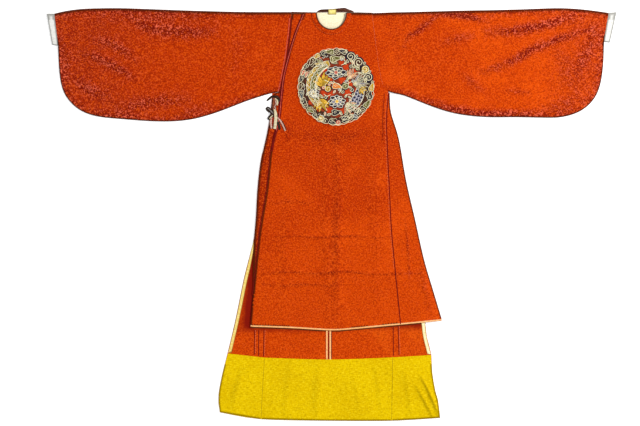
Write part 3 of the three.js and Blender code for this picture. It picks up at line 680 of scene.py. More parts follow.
def mark(piece, relief, edges, above=-1.0, hem=None, wide=rimWidth):
    # raises the cloth by its relief, and stores the painted shade of its folds and where it ends
    mesh = piece.data
    fold = mesh.attributes.new("fold", "FLOAT", "POINT").data
    rim = mesh.attributes.new("rim", "FLOAT", "POINT").data
    tree = treeOf(edges) if edges else None
    for index, vertex in enumerate(mesh.vertices):
        x, y, z = vertex.co
        if tree:
            near = tree.find((x, y, 0))[2]
            reach = wide * (shoulder["wider"] if y > shoulder["from"] else 1)
            rim[index].value = max(0.0, 1 - near / reach)
        if z > above:
            height, shade = relief(x, y)
            share = min(1.0, (z - above) / settling) if above > 0 else 1.0
            vertex.co.z += height * share
            # painted shade: the creases' and, on the sleeves, that of the turned edges
            fold[index].value = shade * share + (hem(near) if hem else 0.0)


def finishPiece(piece, finish, slotName, *nodes):
    for vertex in piece.data.vertices:
        vertex.co.z = max(vertex.co.z, 0.0)
    piece.data.materials.clear()
    piece.data.materials.append(finishes[finish])
    only(piece)
    bpy.ops.object.shade_smooth_by_angle(angle=math.radians(smoothUnder))
    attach(piece, "root")
    if nodes:
        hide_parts(*nodes)


def flatPiece(node, finish, slotName, edge=0.0, name=None):
    # what lies quite flat keeps its solid's form; edge is how far its rim is rounded
    piece = weldedCopy(node, name or node + "_cloth")
    if edge:
        bevelled(piece, edge)
    finishPiece(piece, finish, slotName, node)


clothThickness = 0.0009
panelDefaults = {
    "levels": 2, "relief": flatRelief, "rim": rimWidth, "on": "back_left_cloth", "area": None,
    "rimBelow": 1.0,             # its edge gets the painted shade only below this height on the robe
    "allFree": False,            # none of its edges is sewn down
}
bandPanel = {"finish": "yellowSilk", "slot": "yellow_silk", "levels": 3, "relief": bandRelief,
             "rimBelow": -0.57}
facingPanel = {"finish": "facingSilk", "slot": "yellow_silk", "rim": 0.002, "flat": (0.014, 0.44)}
clothPanels = {
    "front_outer": {"finish": "silk", "slot": "silk", "levels": 3, "relief": bodyRelief,
                    "flat": (0.72, 1.21), "area": 0.58, "on": "front_inner_cloth"},
    "front_gore": {"finish": "silk", "slot": "silk", "levels": 3, "relief": bodyRelief,
                   "flat": (0.20, 0.87), "area": 0.075, "on": "back_right_cloth"},
    "front_hem_edge": {"finish": "selvedge", "slot": "selvedge", "relief": bodyRelief, "rim": 0.001,
                       "flat": (0.010, 0.74), "area": 0.0052},
    "front_inner": {"finish": "shadedSilk", "slot": "silk", "allFree": True,
                    "flat": (0.50, 1.19), "area": 0.42},
    "hem_band_left": {**bandPanel, "flat": (0.17, 0.24)},
    "hem_band_centre": {**bandPanel, "flat": (0.50, 0.23)},
    "hem_band_right": {**bandPanel, "flat": (0.18, 0.24), "on": "back_right_cloth"},
    "side_facing_left": {**facingPanel},
    "side_facing_right": {**facingPanel, "finish": "paleFacing", "on": "back_right_cloth"},
    "collar_tab": {"finish": "tabSilk", "slot": "yellow_silk", "rim": 0.002, "flat": (0.03, 0.02),
                   "on": "neck_lining_cloth"},
}
for node, panel in clothPanels.items():
    for key, value in panelDefaults.items():
        panel.setdefault(key, value)
    panel["piece"] = topSkin(node, node + "_cloth")
    rounded(panel["piece"], panel["levels"])
    panel["edges"] = openEdges(panel["piece"].data)
sleeveUnderside = 0.0018         # the lower layer, up to here, lies flat on the floor
sleeves = {
    "sleeve_left": {"flat": (0.86, 0.92), "area": 0.66},
    "sleeve_right": {"flat": (0.86, 0.92), "area": 0.64},
}
armholes = []
for node, sleeve in sleeves.items():
    sleeve["piece"] = tubeSkin(node, node + "_cloth")
    rounded(sleeve["piece"], 3)
    armholes += openEdges(sleeve["piece"].data)
for node, panel in clothPanels.items():
    piece = panel["piece"]
    others = [point for other in clothPanels.values() if other is not panel for point in other["edges"]]
    near = treeOf(armholes + others)
    free = [point for point in panel["edges"] if point.y < panel["rimBelow"] and (
        panel["allFree"] or near.find((point.x, point.y, 0))[2] > seamReach)]
    mark(piece, panel["relief"], free, wide=panel["rim"])
    thickened(piece, clothThickness)
    finishPiece(piece, panel["finish"], panel["slot"], node)
print("fronts, bands and facings ready")

# the back lies flat, so its widths stay plain sheets
for side in ("left", "right"):
    back = "back_" + side
    flatPiece(back, "silkInside", "silk_inside")
    flatPiece("seam_allowance_" + side, "selvedge", "selvedge")
flatPiece("neck_lining", "creamSilk", "cream_silk", 0.0005)
flatPiece("collar_back", "collarSilk", "dark_silk", 0.0005)
print("back ready")

for node, sleeve in sleeves.items():
    piece = sleeve["piece"]
    mark(piece, sleeveRelief, turnedEdges(piece.data), sleeveUnderside, sleeveEdgeShade)
    thickened(piece, clothThickness)
    finishPiece(piece, "silk", "silk", node)
cuff = {"thickness": 0.0008, "flat": (0.25, 0.03)}
for node in ("cuff_left", "cuff_right"):
    piece = tubeSkin(node, node + "_cloth")
    rounded(piece, 2)
    mark(piece, flatRelief, turnedEdges(piece.data) + openEdges(piece.data))
    thickened(piece, cuff["thickness"])
    finishPiece(piece, "whiteSilk", "white_silk", node)
print("sleeves and cuffs ready")

flatPiece("collar_band", "silk", "silk", 0.0005)

topNames = ("front_outer", "front_gore", "front_inner", "sleeve_left", "sleeve_right", "hem_band_left",
            "hem_band_centre", "hem_band_right", "back_left", "back_right", "collar_band", "neck_lining",
            "front_hem_edge")
tops = [bpy.data.objects[name + "_cloth"] for name in topNames]
feel = 0.0012                    # wider than a seam's gap, in metres


def topAt(x, y):
    # how high the cloth lies there, with no drop into the seams
    highest = 0.0
    for offX, offY in ((0, 0), (feel, 0), (-feel, 0), (0, feel), (0, -feel)):
        for top in tops:
            hit, point, normal, index = top.ray_cast(Vector((x + offX, y + offY, 0.1)), Vector((0, 0, -1)))
            if hit:
                highest = max(highest, point.z)
    return highest


def tubeMesh(name, routes, sides=6):
    # each route is (points, closed), and each point (x, y, z, width, height) of an oval tube
    vertices, faces = [], []
    for points, closed in routes:
        count = len(points)
        first = len(vertices)
        for index, (x, y, z, width, height) in enumerate(points):
            before = points[index - 1] if closed or index else points[index]
            after = points[(index + 1) % count] if closed or index + 1 < count else points[index]
            run = Vector((after[0] - before[0], after[1] - before[1], after[2] - before[2]))
            run = run.normalized() if run.length else Vector((1, 0, 0))
            aside = Vector((-run.y, run.x, 0))
            aside = aside.normalized() if aside.length > 1e-6 else Vector((0, 1, 0))
            up = run.cross(aside)
            if up.z < 0:
                up = up * -1
            for side in range(sides):
                angle = 2 * math.pi * (side + 0.5) / sides
                over = aside * (math.cos(angle) * width / 2)
                vertices.append(Vector((x, y, z)) + over + up * (math.sin(angle) * height / 2))
        for index in range(count if closed else count - 1):
            here, there = first + index * sides, first + ((index + 1) % count) * sides
            for side in range(sides):
                following = (side + 1) % sides
                faces.append((here + side, here + following, there + following, there + side))
        if not closed:
            faces.append(tuple(first + side for side in range(sides)))
            faces.append(tuple(first + (count - 1) * sides + side for side in reversed(range(sides))))
    piece = meshPiece(name, vertices, faces)
    editing(piece, (bpy.ops.mesh.normals_make_consistent, {"inside": False}))
    return piece


def onTop(line, width, height, lift):
    # a tube along a line in metres, lifted off the cloth; its own sizes are in mm
    return [(x, y, topAt(x, y) + lift / 1000, width / 1000, height / 1000) for x, y in line], False


def shifted(points, aside):
    return [(x + aside / 1000, y) for x, y in metres(points)]


def laid(points, width, height, lift, aside=0.0):
    # a line of thread or shade along the points, all in mm
    return onTop(smoothPath(shifted(points, aside), 0.005), width, height, lift)


def picks(points, length, gap, width, height, lift=0.2, aside=0.0):
    # a row of separate stitches along the points, all in mm
    line = smoothPath(shifted(points, aside), 0.001)
    starts = range(0, len(line) - length, length + gap)
    return [onTop(line[start:start + length + 1:length // 2], width, height, lift) for start in starts]


def trim(name, finish, slotName, routes, sides=6):
    finishPiece(tubeMesh(name, routes, sides), finish, slotName)


flapEdge = [(-106.5, 760), (-135.5, 689.5), (-162.5, 601.5), (-180.5, 529.5), (-189.5, 465.5),
            (-196.5, 389.5), (-209.5, 316.5)]
flapPoints = clothPanels["front_outer"]["edges"]


def flapAt(y):
    # where the outer front ends on the left, in mm
    return 1000 * min(point.x for point in flapPoints if abs(point.y - y / 1000) < 0.012)


lowerFlap = [(flapAt(y) - 2.2, y) for y in range(440, -440, -40)]
armholeLeft = [(-153.5, 746), (-159.5, 681.5), (-173.5, 582.5), (-190.5, 495.5), (-197.5, 465.5)]
armholeRight = [(154.5, 756), (163.5, 681.5), (179.5, 561.5), (194.5, 491.5)]
goreSeam = [(216.5, 460), (209.5, 377.5), (210.5, 282.5), (221.5, 54.5), (227.5, -59.5), (241.5, -211.5),
            (262, -417)]
backSeams = [
    [(-293, -440), (-294, -534)], [(-277, -440), (-278, -538)], [(-257, -440), (-259, -540)],
    [(234, -425), (235, -536)], [(253, -425), (256, -535)],
    [(-11.6, -448), (-11.6, -549)], [(-0.2, -448), (-0.2, -548)],
]
shadeBelowTies = [(-196, 362), (-206, 330), (-219, 285), (-227, 240)]
shadeAboveTies = [(-183, 475), (-190, 445), (-195, 400), (-198, 370)]
# each row: the line, its width, height and lift, and how far it is shifted aside, in mm
# dark red tubes: the seams, and painted shade on both sides of the front's edge and above and below the ties
trim("seam_lines", "seamShade", "silk", [
    laid(flapEdge[:6], 5.2, 1.0, 0.1, -4.2),
    laid(lowerFlap, 4.2, 0.8, 0.1),
    laid(flapEdge[2:], 4.2, 0.8, 0.1, 4.0),
    laid(armholeLeft, 5.6, 0.9, 0.1),
    laid(shadeBelowTies, 8.5, 0.8, 0.05),
    laid(shadeAboveTies, 8.0, 0.8, 0.05),
    laid(goreSeam, 4.4, 0.7, 0.1),
    laid(goreSeam[:3], 1.8, 0.6, 0.1, -15.0),
] + [laid(seam, 3.4, 0.6, 0.1) for seam in backSeams])
# piping along the front's edge and beside the left armhole, its pale pink partly a painted highlight
trim("flap_piping", "pipingWithHighlight", "silk", [
    laid(flapEdge, 3.0, 2.2, 0.3),
    laid(armholeLeft, 2.6, 1.2, 0.2, -6.2),
])
trim("shoulder_picks", "palePick", "silk", picks(armholeRight, 5, 4, 1.6, 0.8))
trim("gore_picks", "palePick", "silk", picks(goreSeam[:6], 7, 3, 1.6, 0.8, aside=-4.8))
backPicks = []
for seam in backSeams[:5:2]:
    backPicks += picks(seam, 6, 3, 2.0, 0.7, aside=4.0)
trim("back_seam_picks", "palePick", "silk", backPicks)
hemShadow = [(-306, -430), (-158.5, -435.2), (-1.5, -444), (69.5, -440), (262.5, -422), (358, -412.8)]
trim("hem_shadow_line", "hemShade", "silk", [laid(hemShadow, 3.4, 0.8, 0.1)])
bandSeams = [[(-255, -548), (-262, -660), (-268, -774)], [(231.8, -540), (230.5, -660), (228, -778)]]
trim("band_seam_lines", "bandSeam", "yellow_silk", [laid(seam, 1.6, 0.6, 0.1) for seam in bandSeams])

neck = {"x": -0.5, "y": 766.5, "across": 57, "down": 64, "cordUp": 0.4, "stitchesOut": 18}


def neckLine(start, end, out=0, up=0.0):
    # round the front of the neck, in mm, so far outside its edge
    across, down = neck["across"] + out, neck["down"] + out
    angles = [math.radians(degrees) for degrees in range(start, end, 12)]
    return [(neck["x"] + across * math.cos(a), neck["y"] - down * math.sin(a) + up) for a in angles]


neckCord = laid(neckLine(0, 181, up=neck["cordUp"]), 4.0, 2.6, 0.7)
trim("neck_edge_cord", "edgeCord", "dark_silk", [neckCord], 8)
shoulderLines = [[(-150, 764), (-100, 765.5), (-60, 765.5)], [(59, 765.5), (100, 765.5), (156, 764)]]
trim("shoulder_edge_line", "edgeCord", "dark_silk", [laid(line, 4.4, 1.2, 0.1) for line in shoulderLines])
collarStitches = neckLine(6, 175, neck["stitchesOut"])
trim("collar_picks", "palePick", "silk", picks(collarStitches, 5, 5, 1.2, 0.7))
print("seams and piping ready")

# narrow ribbons knotted through each other: the silk, how high it lies over the cloth, and rows of
# x, y and width, all in mm; the strands that the frame has no solid for are the knot's finer ones
ties = {
    "tie_knot_left": ("darkSilk", 0.6, [(-246, 431, 5), (-238, 439, 9), (-226, 448, 8), (-215, 444, 10)]),
    "tie_knot_right": ("darkSilk", 2.0, [(-219, 446, 7), (-209, 448, 9), (-202, 440, 10), (-199, 429, 6)]),
    "tie_loop_pale": ("ribbonSilk", 1.6, [(-215, 440, 4), (-208, 434, 6), (-205.5, 425, 6), (-207, 414, 4)]),
    "tie_end_upper": ("darkSilk", 1.4, [(-247.5, 407, 11), (-242, 401, 18), (-234, 393, 16), (-224, 385, 8)]),
    "tie_end_lower": ("darkSilk", 1.0, [(-240, 359, 12), (-235, 366, 18), (-229, 373, 17), (-221, 379, 9)]),
    "ribbon_broad": ("ribbonSilk", 2.0, [(-217, 399, 7), (-213, 384, 11), (-212, 360, 12), (-216, 325, 11)]),
    "ribbon_rose_left": ("roseSilk", 1.2, [(-225, 378, 4), (-230, 362, 7), (-231, 343, 8), (-228, 326, 6)]),
    "ribbon_dark": ("darkSilk", 1.4, [(-209, 366, 6), (-204, 353, 9), (-200, 337, 9), (-196, 322, 7)]),
    "ribbon_rose_right": ("roseSilk", 1.6, [(-206, 368, 4), (-195, 356, 6), (-185, 338, 6), (-176, 317, 5)]),
    "tie_bundle": ("bundleSilk", 0.4, [(-218, 444, 7), (-219, 428, 15), (-218, 408, 17), (-215, 388, 9)]),
    "tie_strand_dark": ("darkSilk", 1.2, [(-223, 440, 3), (-226, 420, 4), (-225, 402, 4), (-221, 383, 3)]),
    "tie_strand_grey": ("greySilk", 2.4, [(-244, 404, 2), (-237, 399, 4), (-229, 391, 4), (-222, 383, 2)]),
    "tie_strand_pale": ("ribbonSilk", 2.6, [(-236, 362, 2), (-233, 367, 4), (-228, 372, 4), (-223, 376, 2)]),
    "tie_strand_rose": ("roseSilk", 2.0, [(-214, 433, 3), (-211, 420, 4), (-216, 410, 4), (-212, 399, 3)]),
    "ribbon_dark_right": ("darkSilk", 0.6, [(-204, 364, 5), (-191, 354, 7), (-181, 337, 7), (-173, 320, 4)]),
    "ribbon_dark_left": ("darkSilk", 0.4, [(-221, 380, 4), (-233, 358, 5), (-235, 340, 5), (-233, 327, 4)]),
}
tieSlots = {"darkSilk": "dark_silk", "greySilk": "dark_silk", "ribbonSilk": "cream_silk",
            "roseSilk": "rose_silk", "bundleSilk": "rose_silk"}
tieHeight = 0.0016
# painted shade: a dark tube a little wider than each pale ribbon lies under it, to darken its edges
tieShadeOutline = {"lowest": 0.0006, "drop": 0.0009, "wider": 0.004, "height": 0.0010}
leastWidth = 0.01                # a cut narrower than this has its area worked out
tieShadeRoutes = []
for name, (finish, lift, rows) in ties.items():
    lift = lift / 1000
    line = smoothPath(metres(rows), 0.003)
    if finish != "darkSilk":
        tieShadeRoutes.append(([(x, y, max(tieShadeOutline["lowest"], topAt(x, y) + lift - tieShadeOutline["drop"]),
                              width + tieShadeOutline["wider"], tieShadeOutline["height"]) for x, y, width in line], False))
    route = [(x, y, topAt(x, y) + lift, width, tieHeight) for x, y, width in line]
    piece = tubeMesh(name + "_cloth", [(route, False)], 10)
    finishPiece(piece, finish, tieSlots[finish], *([name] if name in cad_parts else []))
    length = sum(math.dist(a[:2], b[:2]) for a, b in zip(line, line[1:]))
    wide = sum(width for x, y, width in line) / len(line)
    area = wide * length if wide < leastWidth else None
trim("tie_shade_outlines", "darkSilk", "dark_silk", tieShadeRoutes, 8)
print("ties ready")

# the roundel: motifs in mm from its middle; pads are satin stitch, cords are couched thread
flatPiece("roundel", "silk", "embroidery", 0.0004,
          name="roundel_ground")
floss = {
    "ground": ((44, 24, 16), (80, 44, 24)),
    "red": ((168, 42, 6), (204, 66, 10)),
    "cream": ((222, 206, 158), (250, 242, 208)),
    "white": ((214, 208, 192), (248, 244, 226)),
    "navy": ((20, 18, 26), (46, 42, 56)),
    "gold": ((146, 110, 26), (200, 162, 54)),
    "yellow": ((212, 156, 28), (242, 196, 72)),
    "orange": ((196, 98, 30), (226, 140, 62)),
    "grey": ((58, 62, 66), (106, 112, 112)),
    "violet": ((80, 78, 106), (128, 126, 150)),
    "olive": ((66, 68, 26), (116, 112, 54)),
    "rose": ((160, 60, 46), (206, 104, 84)),
    "earth": ((104, 34, 14), (148, 54, 20)),
}
pads = {colour: [] for colour in floss}
cords = {"cream": [], "white": [], "gold": []}
taken = []                       # circles (x, y, radius) that already hold a motif
shuffle = random.Random(7)


def ringPoint(radius, angle):
    return radius * math.cos(math.radians(angle)), radius * math.sin(math.radians(angle))


def turned(points, x, y, turn):
    c, s = math.cos(math.radians(turn)), math.sin(math.radians(turn))
    return [(x + (px * c - py * s), y + (px * s + py * c)) for px, py in points]


def leafShape(length, width, bend, steps=9, broad=0.75):
    # broad above 1 moves its widest place towards the tip
    shape = []
    for sign in (1, -1):
        for step in range(steps):
            t = step / steps if sign > 0 else 1 - step / steps
            half = width / 2 * math.sin(math.pi * t ** broad)
            shape.append((length * t, bend * length * t * t + sign * half))
    return shape


def discShape(radius, lobes=0, depth=0.0, steps=18):
    shape = []
    for step in range(steps):
        angle = 2 * math.pi * step / steps
        reach = radius * (1 + depth * math.cos(lobes * angle))
        shape.append((reach * math.cos(angle), reach * math.sin(angle)))
    return shape


def discAt(x, y, radius, steps=18):
    return turned(discShape(radius, steps=steps), x, y, 0)


def spiralLine(radius, turns, hand=1, steps=14):
    line = []
    count = round(turns * steps)
    for step in range(count + 1):
        share = step / count
        a = hand * 2 * math.pi * turns * share
        r = radius * (1 - 0.82 * share)
        line.append((r * math.cos(a), r * math.sin(a)))
    return line


def addPad(colour, shape, layer):
    # the number keeps two pads of one layer from lying in the very same plane
    pads[colour].append((shape, layer, sum(len(shapes) for shapes in pads.values())))


def addCord(colour, line, layer, closed, width):
    cords[colour].append((line, layer, closed, width))


def edgedPad(colour, shape, layer, cord="cream", width=2.4):
    # a dark pad beneath, a little wider, as a painted shadow line round it; colour on it, and a pale thread
    # couched round the edge
    midX = sum(p[0] for p in shape) / len(shape)
    midY = sum(p[1] for p in shape) / len(shape)
    shadowPad = []
    for x, y in shape:
        far = math.hypot(x - midX, y - midY) or 1.0
        shadowPad.append((x + (x - midX) / far * 2.8, y + (y - midY) / far * 2.8))
    addPad("navy", shadowPad, layer)
    addPad(colour, shape, layer + 1)
    addCord(cord, shape, layer + 1, True, width)


def addFlower(x, y, radius, petals, turn, colour, inner, heart, layer, squash=0.8):
    for ring, (share, count, fill) in enumerate(((1.0, petals, colour), (0.62, petals - 2, inner))):
        reach = radius * share
        for index in range(count):
            angle = turn + 360 * (index + 0.5 * ring) / count + shuffle.uniform(-7, 7)
            wide = 2 * math.pi * reach * 0.66 / count
            long = reach * 0.82 * shuffle.uniform(0.78, 1.12)
            shape = turned(leafShape(long, wide * 1.15, shuffle.uniform(-0.2, 0.2), broad=1.35), x, y, angle)
            aside = ringPoint(reach * 0.18, angle)
            shape = [(px + aside[0], y + (py + aside[1] - y) * squash) for px, py in shape]
            edgedPad(fill, shape, layer + 2 * ring, "white" if ring == 0 else "cream", 2.3)
    edgedPad(heart, discAt(x, y, radius * 0.2), layer + 4, "white", 2.0)
    taken.append((x, y, radius))


def addCurl(x, y, radius, turn, colour, layer, hand=1, tail=0.0):
    # a dark disc beneath, a little wider, as a painted shadow line round the curl
    addPad("navy", discAt(x, y, radius * 1.1), layer)
    addPad(colour, discAt(x, y, radius * 0.84), layer + 1)
    addCord("white" if colour in ("grey", "violet") else "cream",
            turned(spiralLine(radius * 0.96, 1.25, hand, 18), x, y, turn), layer + 1, False, 2.3)
    if tail:
        line = [(0.9 * radius, 0), (1.35 * radius, -0.5 * tail * hand), (1.2 * radius, -tail * hand)]
        addCord("cream", turned(line, x, y, turn), layer + 1, False, 2.4)
    taken.append((x, y, radius))


def addWisp(x, y, length, turn, colour, layer, hand=1):
    # a small cloud: an S of thread on a dark leaf
    edgedPad(colour, turned(leafShape(length, length * 0.42, 0.1 * hand), x, y, turn), layer, "cream", 2.3)
    line = [(length * share, hand * length * 0.12 * math.sin(2 * math.pi * share))
            for share in (0.15, 0.35, 0.55, 0.75, 0.95)]
    addCord("cream", turned(line, x, y, turn), layer + 1, False, 1.8)


def addSpray(x, y, length, width, count, turn, spread, colours, layer, bend=0.12, cord="cream"):
    for index in range(count):
        share = index / (count - 1) - 0.5 if count > 1 else 0.0
        reach = length * (1 - 0.45 * abs(share))
        way = bend if share >= 0 else -bend
        angle = turn + share * spread
        shape = turned(leafShape(reach, width, way), x, y, angle)
        edgedPad(colours[index % len(colours)], shape, layer + index % 2, cord, 1.5)
        vein = [(px, way * px * px / reach) for px in (reach * 0.2, reach * 0.5, reach * 0.85)]
        addCord(cord, turned(vein, x, y, angle), layer + 1, False, 1.0)
        for part in (0.3, 0.7):
            spotX, spotY = turned([(reach * part, 0)], x, y, angle)[0]
            taken.append((spotX, spotY, width * 0.8))


def addCrescent(colour, inner, outer, start, end, layer, steps=26):
    # a band that narrows to both ends
    middle = (inner + outer) / 2
    shape = []
    for way, base in ((1, outer), (-1, inner)):
        for step in range(steps + 1):
            share = step / steps if way > 0 else 1 - step / steps
            radius = middle + (base - middle) * math.sin(math.pi * (0.08 + 0.84 * share)) ** 0.5
            shape.append(ringPoint(radius, start + (end - start) * share))
    edgedPad(colour, shape, layer)
    for step in range(9):
        taken.append((*ringPoint(middle, start + (end - start) * step / 8), (outer - inner) * 0.42))


def addCloud(x, y, size, turn, colour, layer):
    # three lobes with a curl in each of the two outer ones
    shape = [(1.45 * px, 0.85 * py) for px, py in discShape(size, 3, 0.22, 24)]
    # a dark pad beneath, a little wider, as a painted shadow line round the cloud
    shadowPad = [(1.16 * px, 1.22 * py) for px, py in shape]
    addPad("navy", turned(shadowPad, x, y, turn), layer)
    addPad(colour, turned(shape, x, y, turn), layer + 1)
    addCord("cream", turned(shape, x, y, turn), layer + 1, True, 2.2)
    curl = [(px - size * 0.3, py) for px, py in spiralLine(size * 0.5, 1.0)]
    addCord("cream", turned(curl, x, y, turn), layer + 1, False, 1.9)
    taken.append((x, y, size * 1.1))


def addWaves(inner, outer, start, end, strands, layer, swing=2.6, length=19):
    middle = (inner + outer) / 2
    for index in range(strands):
        base = inner + (outer - inner) * (index + 0.5) / strands
        line = []
        count = round(abs(end - start) * math.pi / 180 * base / 3.2)
        for step in range(count + 1):
            angle = start + (end - start) * (0.05 + 0.9 * step / count)
            along = math.radians(angle) * base
            pinch = math.sin(math.pi * (0.1 + 0.8 * step / count)) ** 0.5
            sway = swing * math.sin(2 * math.pi * along / length)
            line.append(ringPoint(middle + (base - middle) * pinch + sway, angle))
        addCord("cream" if index % 2 else "white", line, layer + 1, False, 2.2)


def addScales(inner, outer, start, end, rows, layer):
    for row in range(rows):
        radius = inner + (outer - inner) * (row + 0.5) / rows
        size = (outer - inner) / rows * 0.62
        count = round(math.radians(abs(end - start)) * radius / (size * 1.9))
        for index in range(count):
            angle = start + (end - start) * (index + (0.5 if row % 2 else 0.1)) / count
            x, y = ringPoint(radius, angle)
            arc = [ringPoint(size, degrees) for degrees in range(-100, 101, 40)]
            addPad("navy", discAt(x, y, size * 0.5, 8), layer + 1)
            addCord("white", turned(arc, x, y, angle), layer + 1, False, 1.9)


def wavyRing(radius, depth, waves):
    return [ringPoint(radius + depth * math.sin(math.radians(a * waves)), a) for a in range(0, 360, 4)]


# a dark ground under it all, with openings where the red shows
rimRadius = 1000 * badge["radius"] - 3
edgeRadius = rimRadius - 7
addPad("ground", wavyRing(edgeRadius, 2, 11), -2)
addPad("earth", wavyRing(112, 6, 7), -1.5)
openings = [
    (-24, 30, 13), (24, 24, 13), (46, -22, 17), (-20, -26, 14), (38, 74, 12), (-40, 64, 13),
    (-26, -88, 12), (28, -92, 12), (80, -18, 11), (-66, 14, 12), (68, 56, 12), (-64, -84, 10),
    (82, -60, 11), (22, 92, 10), (-46, -26, 11), (-46, 36, 11), (54, 12, 10), (-100, 50, 8),
    (-60, 104, 8), (60, -108, 8), (-98, -60, 8),
]
for x, y, size in openings:
    addPad("red", turned(discShape(size, 3, 0.18, 14), x, y, shuffle.uniform(0, 120)), -1)
    taken.append((x, y, size * 0.7))

# the rim: clouds, curls and wisps in a loose chain
wiggle = [(-6, 4), (-3, -2), (0, 2), (3, -2), (6, 3)]    # degrees along the rim, and mm out
rimColours = ["navy", "ground", "olive", "navy", "gold", "ground", "navy", "rose", "navy", "ground", "grey"]
rimChain = {"start": 76.0, "end": 368}     # degrees; the big curls fill the rest
angle = rimChain["start"]
index = 0
while angle < rimChain["end"]:
    kind = shuffle.choice(["cloud", "curl", "wisps", "cloud"])
    size = shuffle.uniform(8.5, 12.5)
    out = rimRadius - size - shuffle.uniform(1.0, 6.0)
    colour = rimColours[index % len(rimColours)]
    if kind == "cloud":
        size *= 0.92
        angle += math.degrees(size * 0.55 / out)
        x, y = ringPoint(out, angle)
        addCloud(x, y, size, angle + 90 + shuffle.uniform(-22, 22), colour, 0)
        angle += math.degrees(size * 0.55 / out)
    elif kind == "curl":
        x, y = ringPoint(out, angle)
        addCurl(x, y, size, angle + shuffle.uniform(60, 300), colour, 0, 1 if shuffle.random() < 0.5 else -1)
    else:
        for step in (-7, 2):
            x, y = ringPoint(out + step, angle - 3)
            addWisp(x, y, size * 2.3, angle + 90 + shuffle.uniform(-24, 24), colour, 0, 1 if step > 0 else -1)
        x, y = ringPoint(out, angle + 3)
        taken.append((x, y, size))
    bulge = shuffle.uniform(3.0, 6.0)
    edge = [ringPoint(edgeRadius + bulge * math.sin(math.radians(t * 15)), angle + t - 6)
            for t in range(0, 13, 2)]
    addCord("cream", edge, 0, False, 2.4)
    inward = out - size - shuffle.uniform(2, 5)
    line = [ringPoint(inward + rise, angle + off) for off, rise in wiggle]
    if index % 2:
        addCord("cream" if index % 3 else "white", line, 0, False, 2.2)
    angle += math.degrees((size * 1.9 + shuffle.uniform(0, 2.0)) / out)
    index += 1
bigCurls = [(64, 18, "navy", 1), (47, 19, "ground", -1), (31, 16, "gold", 1), (16, 18, "navy", -1)]
for angle, radius, colour, hand in bigCurls:
    x, y = ringPoint(rimRadius - radius - 3, angle)
    # a dark disc beneath, a little wider, as a painted shadow line round the big curl
    addPad("navy", discAt(x, y, radius * 1.12), 1)
    addPad(colour, discAt(x, y, radius * 0.86), 2)
    addCord("cream", turned(spiralLine(radius, 1.75, hand, 20), x, y, angle + 200), 2, False, 3.2)
    taken.append((x, y, radius))
for angle in (73, 55.5, 39, 23.5, 7):
    x, y = ringPoint(rimRadius - 9, angle)
    addCurl(x, y, 6.5, angle, "navy", 0, 1)
    x, y = ringPoint(rimRadius - 36, angle)
    addWisp(x, y, 18, angle + 80, "olive", 0, -1)

addCrescent("gold", 74, 112, 106, 234, 0)
addCrescent("olive", 78, 96, 112, 228, 1)
addWaves(75, 111, 106, 234, 4, 2)
addCrescent("violet", 74, 112, -64, 2, 0)
addScales(76, 110, -60, -2, 3, 1)
addSpray(66, 10, 66, 8, 8, 12, 84, ["grey", "navy", "grey", "violet"], 1, 0.1, "cream")
addSpray(50, 30, 46, 9, 5, 62, 64, ["rose", "orange", "rose"], 0)
addSpray(-50, 2, 58, 14, 6, 100, 92, ["yellow", "gold", "yellow"], 0, cord="gold")
addSpray(-60, -46, 54, 14, 6, -78, 84, ["gold", "yellow", "yellow"], 1, cord="gold")
addSpray(40, -62, 52, 10, 7, -50, 84, ["rose", "olive", "orange", "navy"], 0)
addSpray(-48, 84, 40, 10, 4, 158, 60, ["navy", "olive", "gold"], 1, 0.16)
addSpray(-18, 92, 32, 9, 4, 40, 80, ["olive", "navy", "gold"], 0)
addSpray(92, -6, 30, 9, 4, -40, 90, ["gold", "yellow", "yellow"], 2, cord="gold")
addFlower(0, 54, 38, 8, 0, "navy", "grey", "rose", 1, 0.72)
addFlower(4, -56, 34, 9, 10, "navy", "violet", "yellow", 1, 0.8)
addFlower(-84, -26, 20, 7, 20, "navy", "white", "gold", 2, 0.9)
addCloud(-6, 106, 13, 8, "olive", 2)
addCloud(2, 2, 12, -12, "orange", 1)
addCurl(-30, -8, 13, 150, "gold", 1, 1, 16)
addCurl(34, 2, 14, 20, "olive", 1, -1, 18)
addCloud(0, -98, 12, 4, "navy", 1)
for line in (
    [(-10, 22), (-2, 14), (12, 10), (22, -8), (12, -24)],
    [(-44, 26), (-28, 18), (-14, 12)],
    [(28, 18), (42, 12), (60, 20)],
    [(-66, 44), (-50, 62), (-28, 74)],
    [(20, 82), (36, 90), (30, 104)],
    [(-26, -54), (-40, -74), (-34, -92)],
    [(36, -34), (50, -28), (66, -36)],
    [(-20, -30), (-34, -36), (-46, -28)],
):
    addCord("cream", smoothPath(line, 4), 2, False, 2.8)
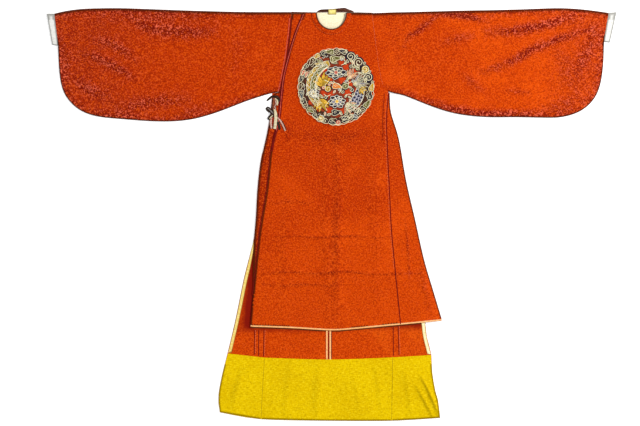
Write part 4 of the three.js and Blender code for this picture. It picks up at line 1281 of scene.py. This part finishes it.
# small clouds wherever there is still room, with some of the red left to show
filling = {"tries": 1500, "within": 112, "smallest": 5.5, "largest": 9.0}
for attempt in range(filling["tries"]):
    angle, far = shuffle.uniform(0, 360), filling["within"] * math.sqrt(shuffle.random())
    x, y = ringPoint(far, angle)
    size = shuffle.uniform(filling["smallest"], filling["largest"])
    if any(math.hypot(x - tx, y - ty) < size * 0.75 + tr * 0.9 for tx, ty, tr in taken):
        continue
    colour = shuffle.choice(["navy", "navy", "grey", "navy", "olive", "rose"])
    if attempt % 2:
        addCurl(x, y, size, shuffle.uniform(0, 360), colour, 0, 1)
    else:
        turn = shuffle.uniform(0, 360)
        backX, backY = ringPoint(size * 1.1, turn)
        addWisp(x - backX, y - backY, size * 2.4, turn, colour, 0)
        taken.append((x, y, size))

relief = {"first": 0.0009, "layer": 0.00035, "each": 0.0000005, "padThickness": 0.0005,
          "cordUp": 0.0003, "cordHeight": 0.0012, "cordShare": 0.8}


def onBadge(x, y):
    return badge["x"] + x / 1000, badge["y"] + y / 1000


for colour, shapes in pads.items():
    if not shapes:
        continue
    vertices, faces = [], []
    for shape, layer, number in shapes:
        area = sum(a[0] * b[1] - b[0] * a[1] for a, b in zip(shape, shape[1:] + shape[:1]))
        ordered = shape if area > 0 else shape[::-1]
        z = badge["top"] + relief["first"] + relief["layer"] * layer + relief["each"] * number
        faces.append(tuple(range(len(vertices), len(vertices) + len(shape))))
        vertices += [(*onBadge(x, y), z) for x, y in ordered]
    piece = meshPiece("roundel_" + colour, vertices, faces)
    thickened(piece, relief["padThickness"])
    satinStitch("floss_" + colour, *floss[colour], shuffle.uniform(0, 180))
    finishPiece(piece, "floss_" + colour, "embroidery")
for colour, lines in cords.items():
    routes = []
    for line, layer, closed, width in lines:
        z = badge["top"] + relief["first"] + relief["layer"] * layer + relief["cordUp"]
        wide = relief["cordShare"] * width / 1000
        routes.append(([(*onBadge(x, y), z, wide, relief["cordHeight"]) for x, y in line], closed))
    satinStitch("cord_" + colour, *floss[colour], 55.0)
    trim("roundel_cord_" + colour, "cord_" + colour, "embroidery", routes)
print("roundel ready")
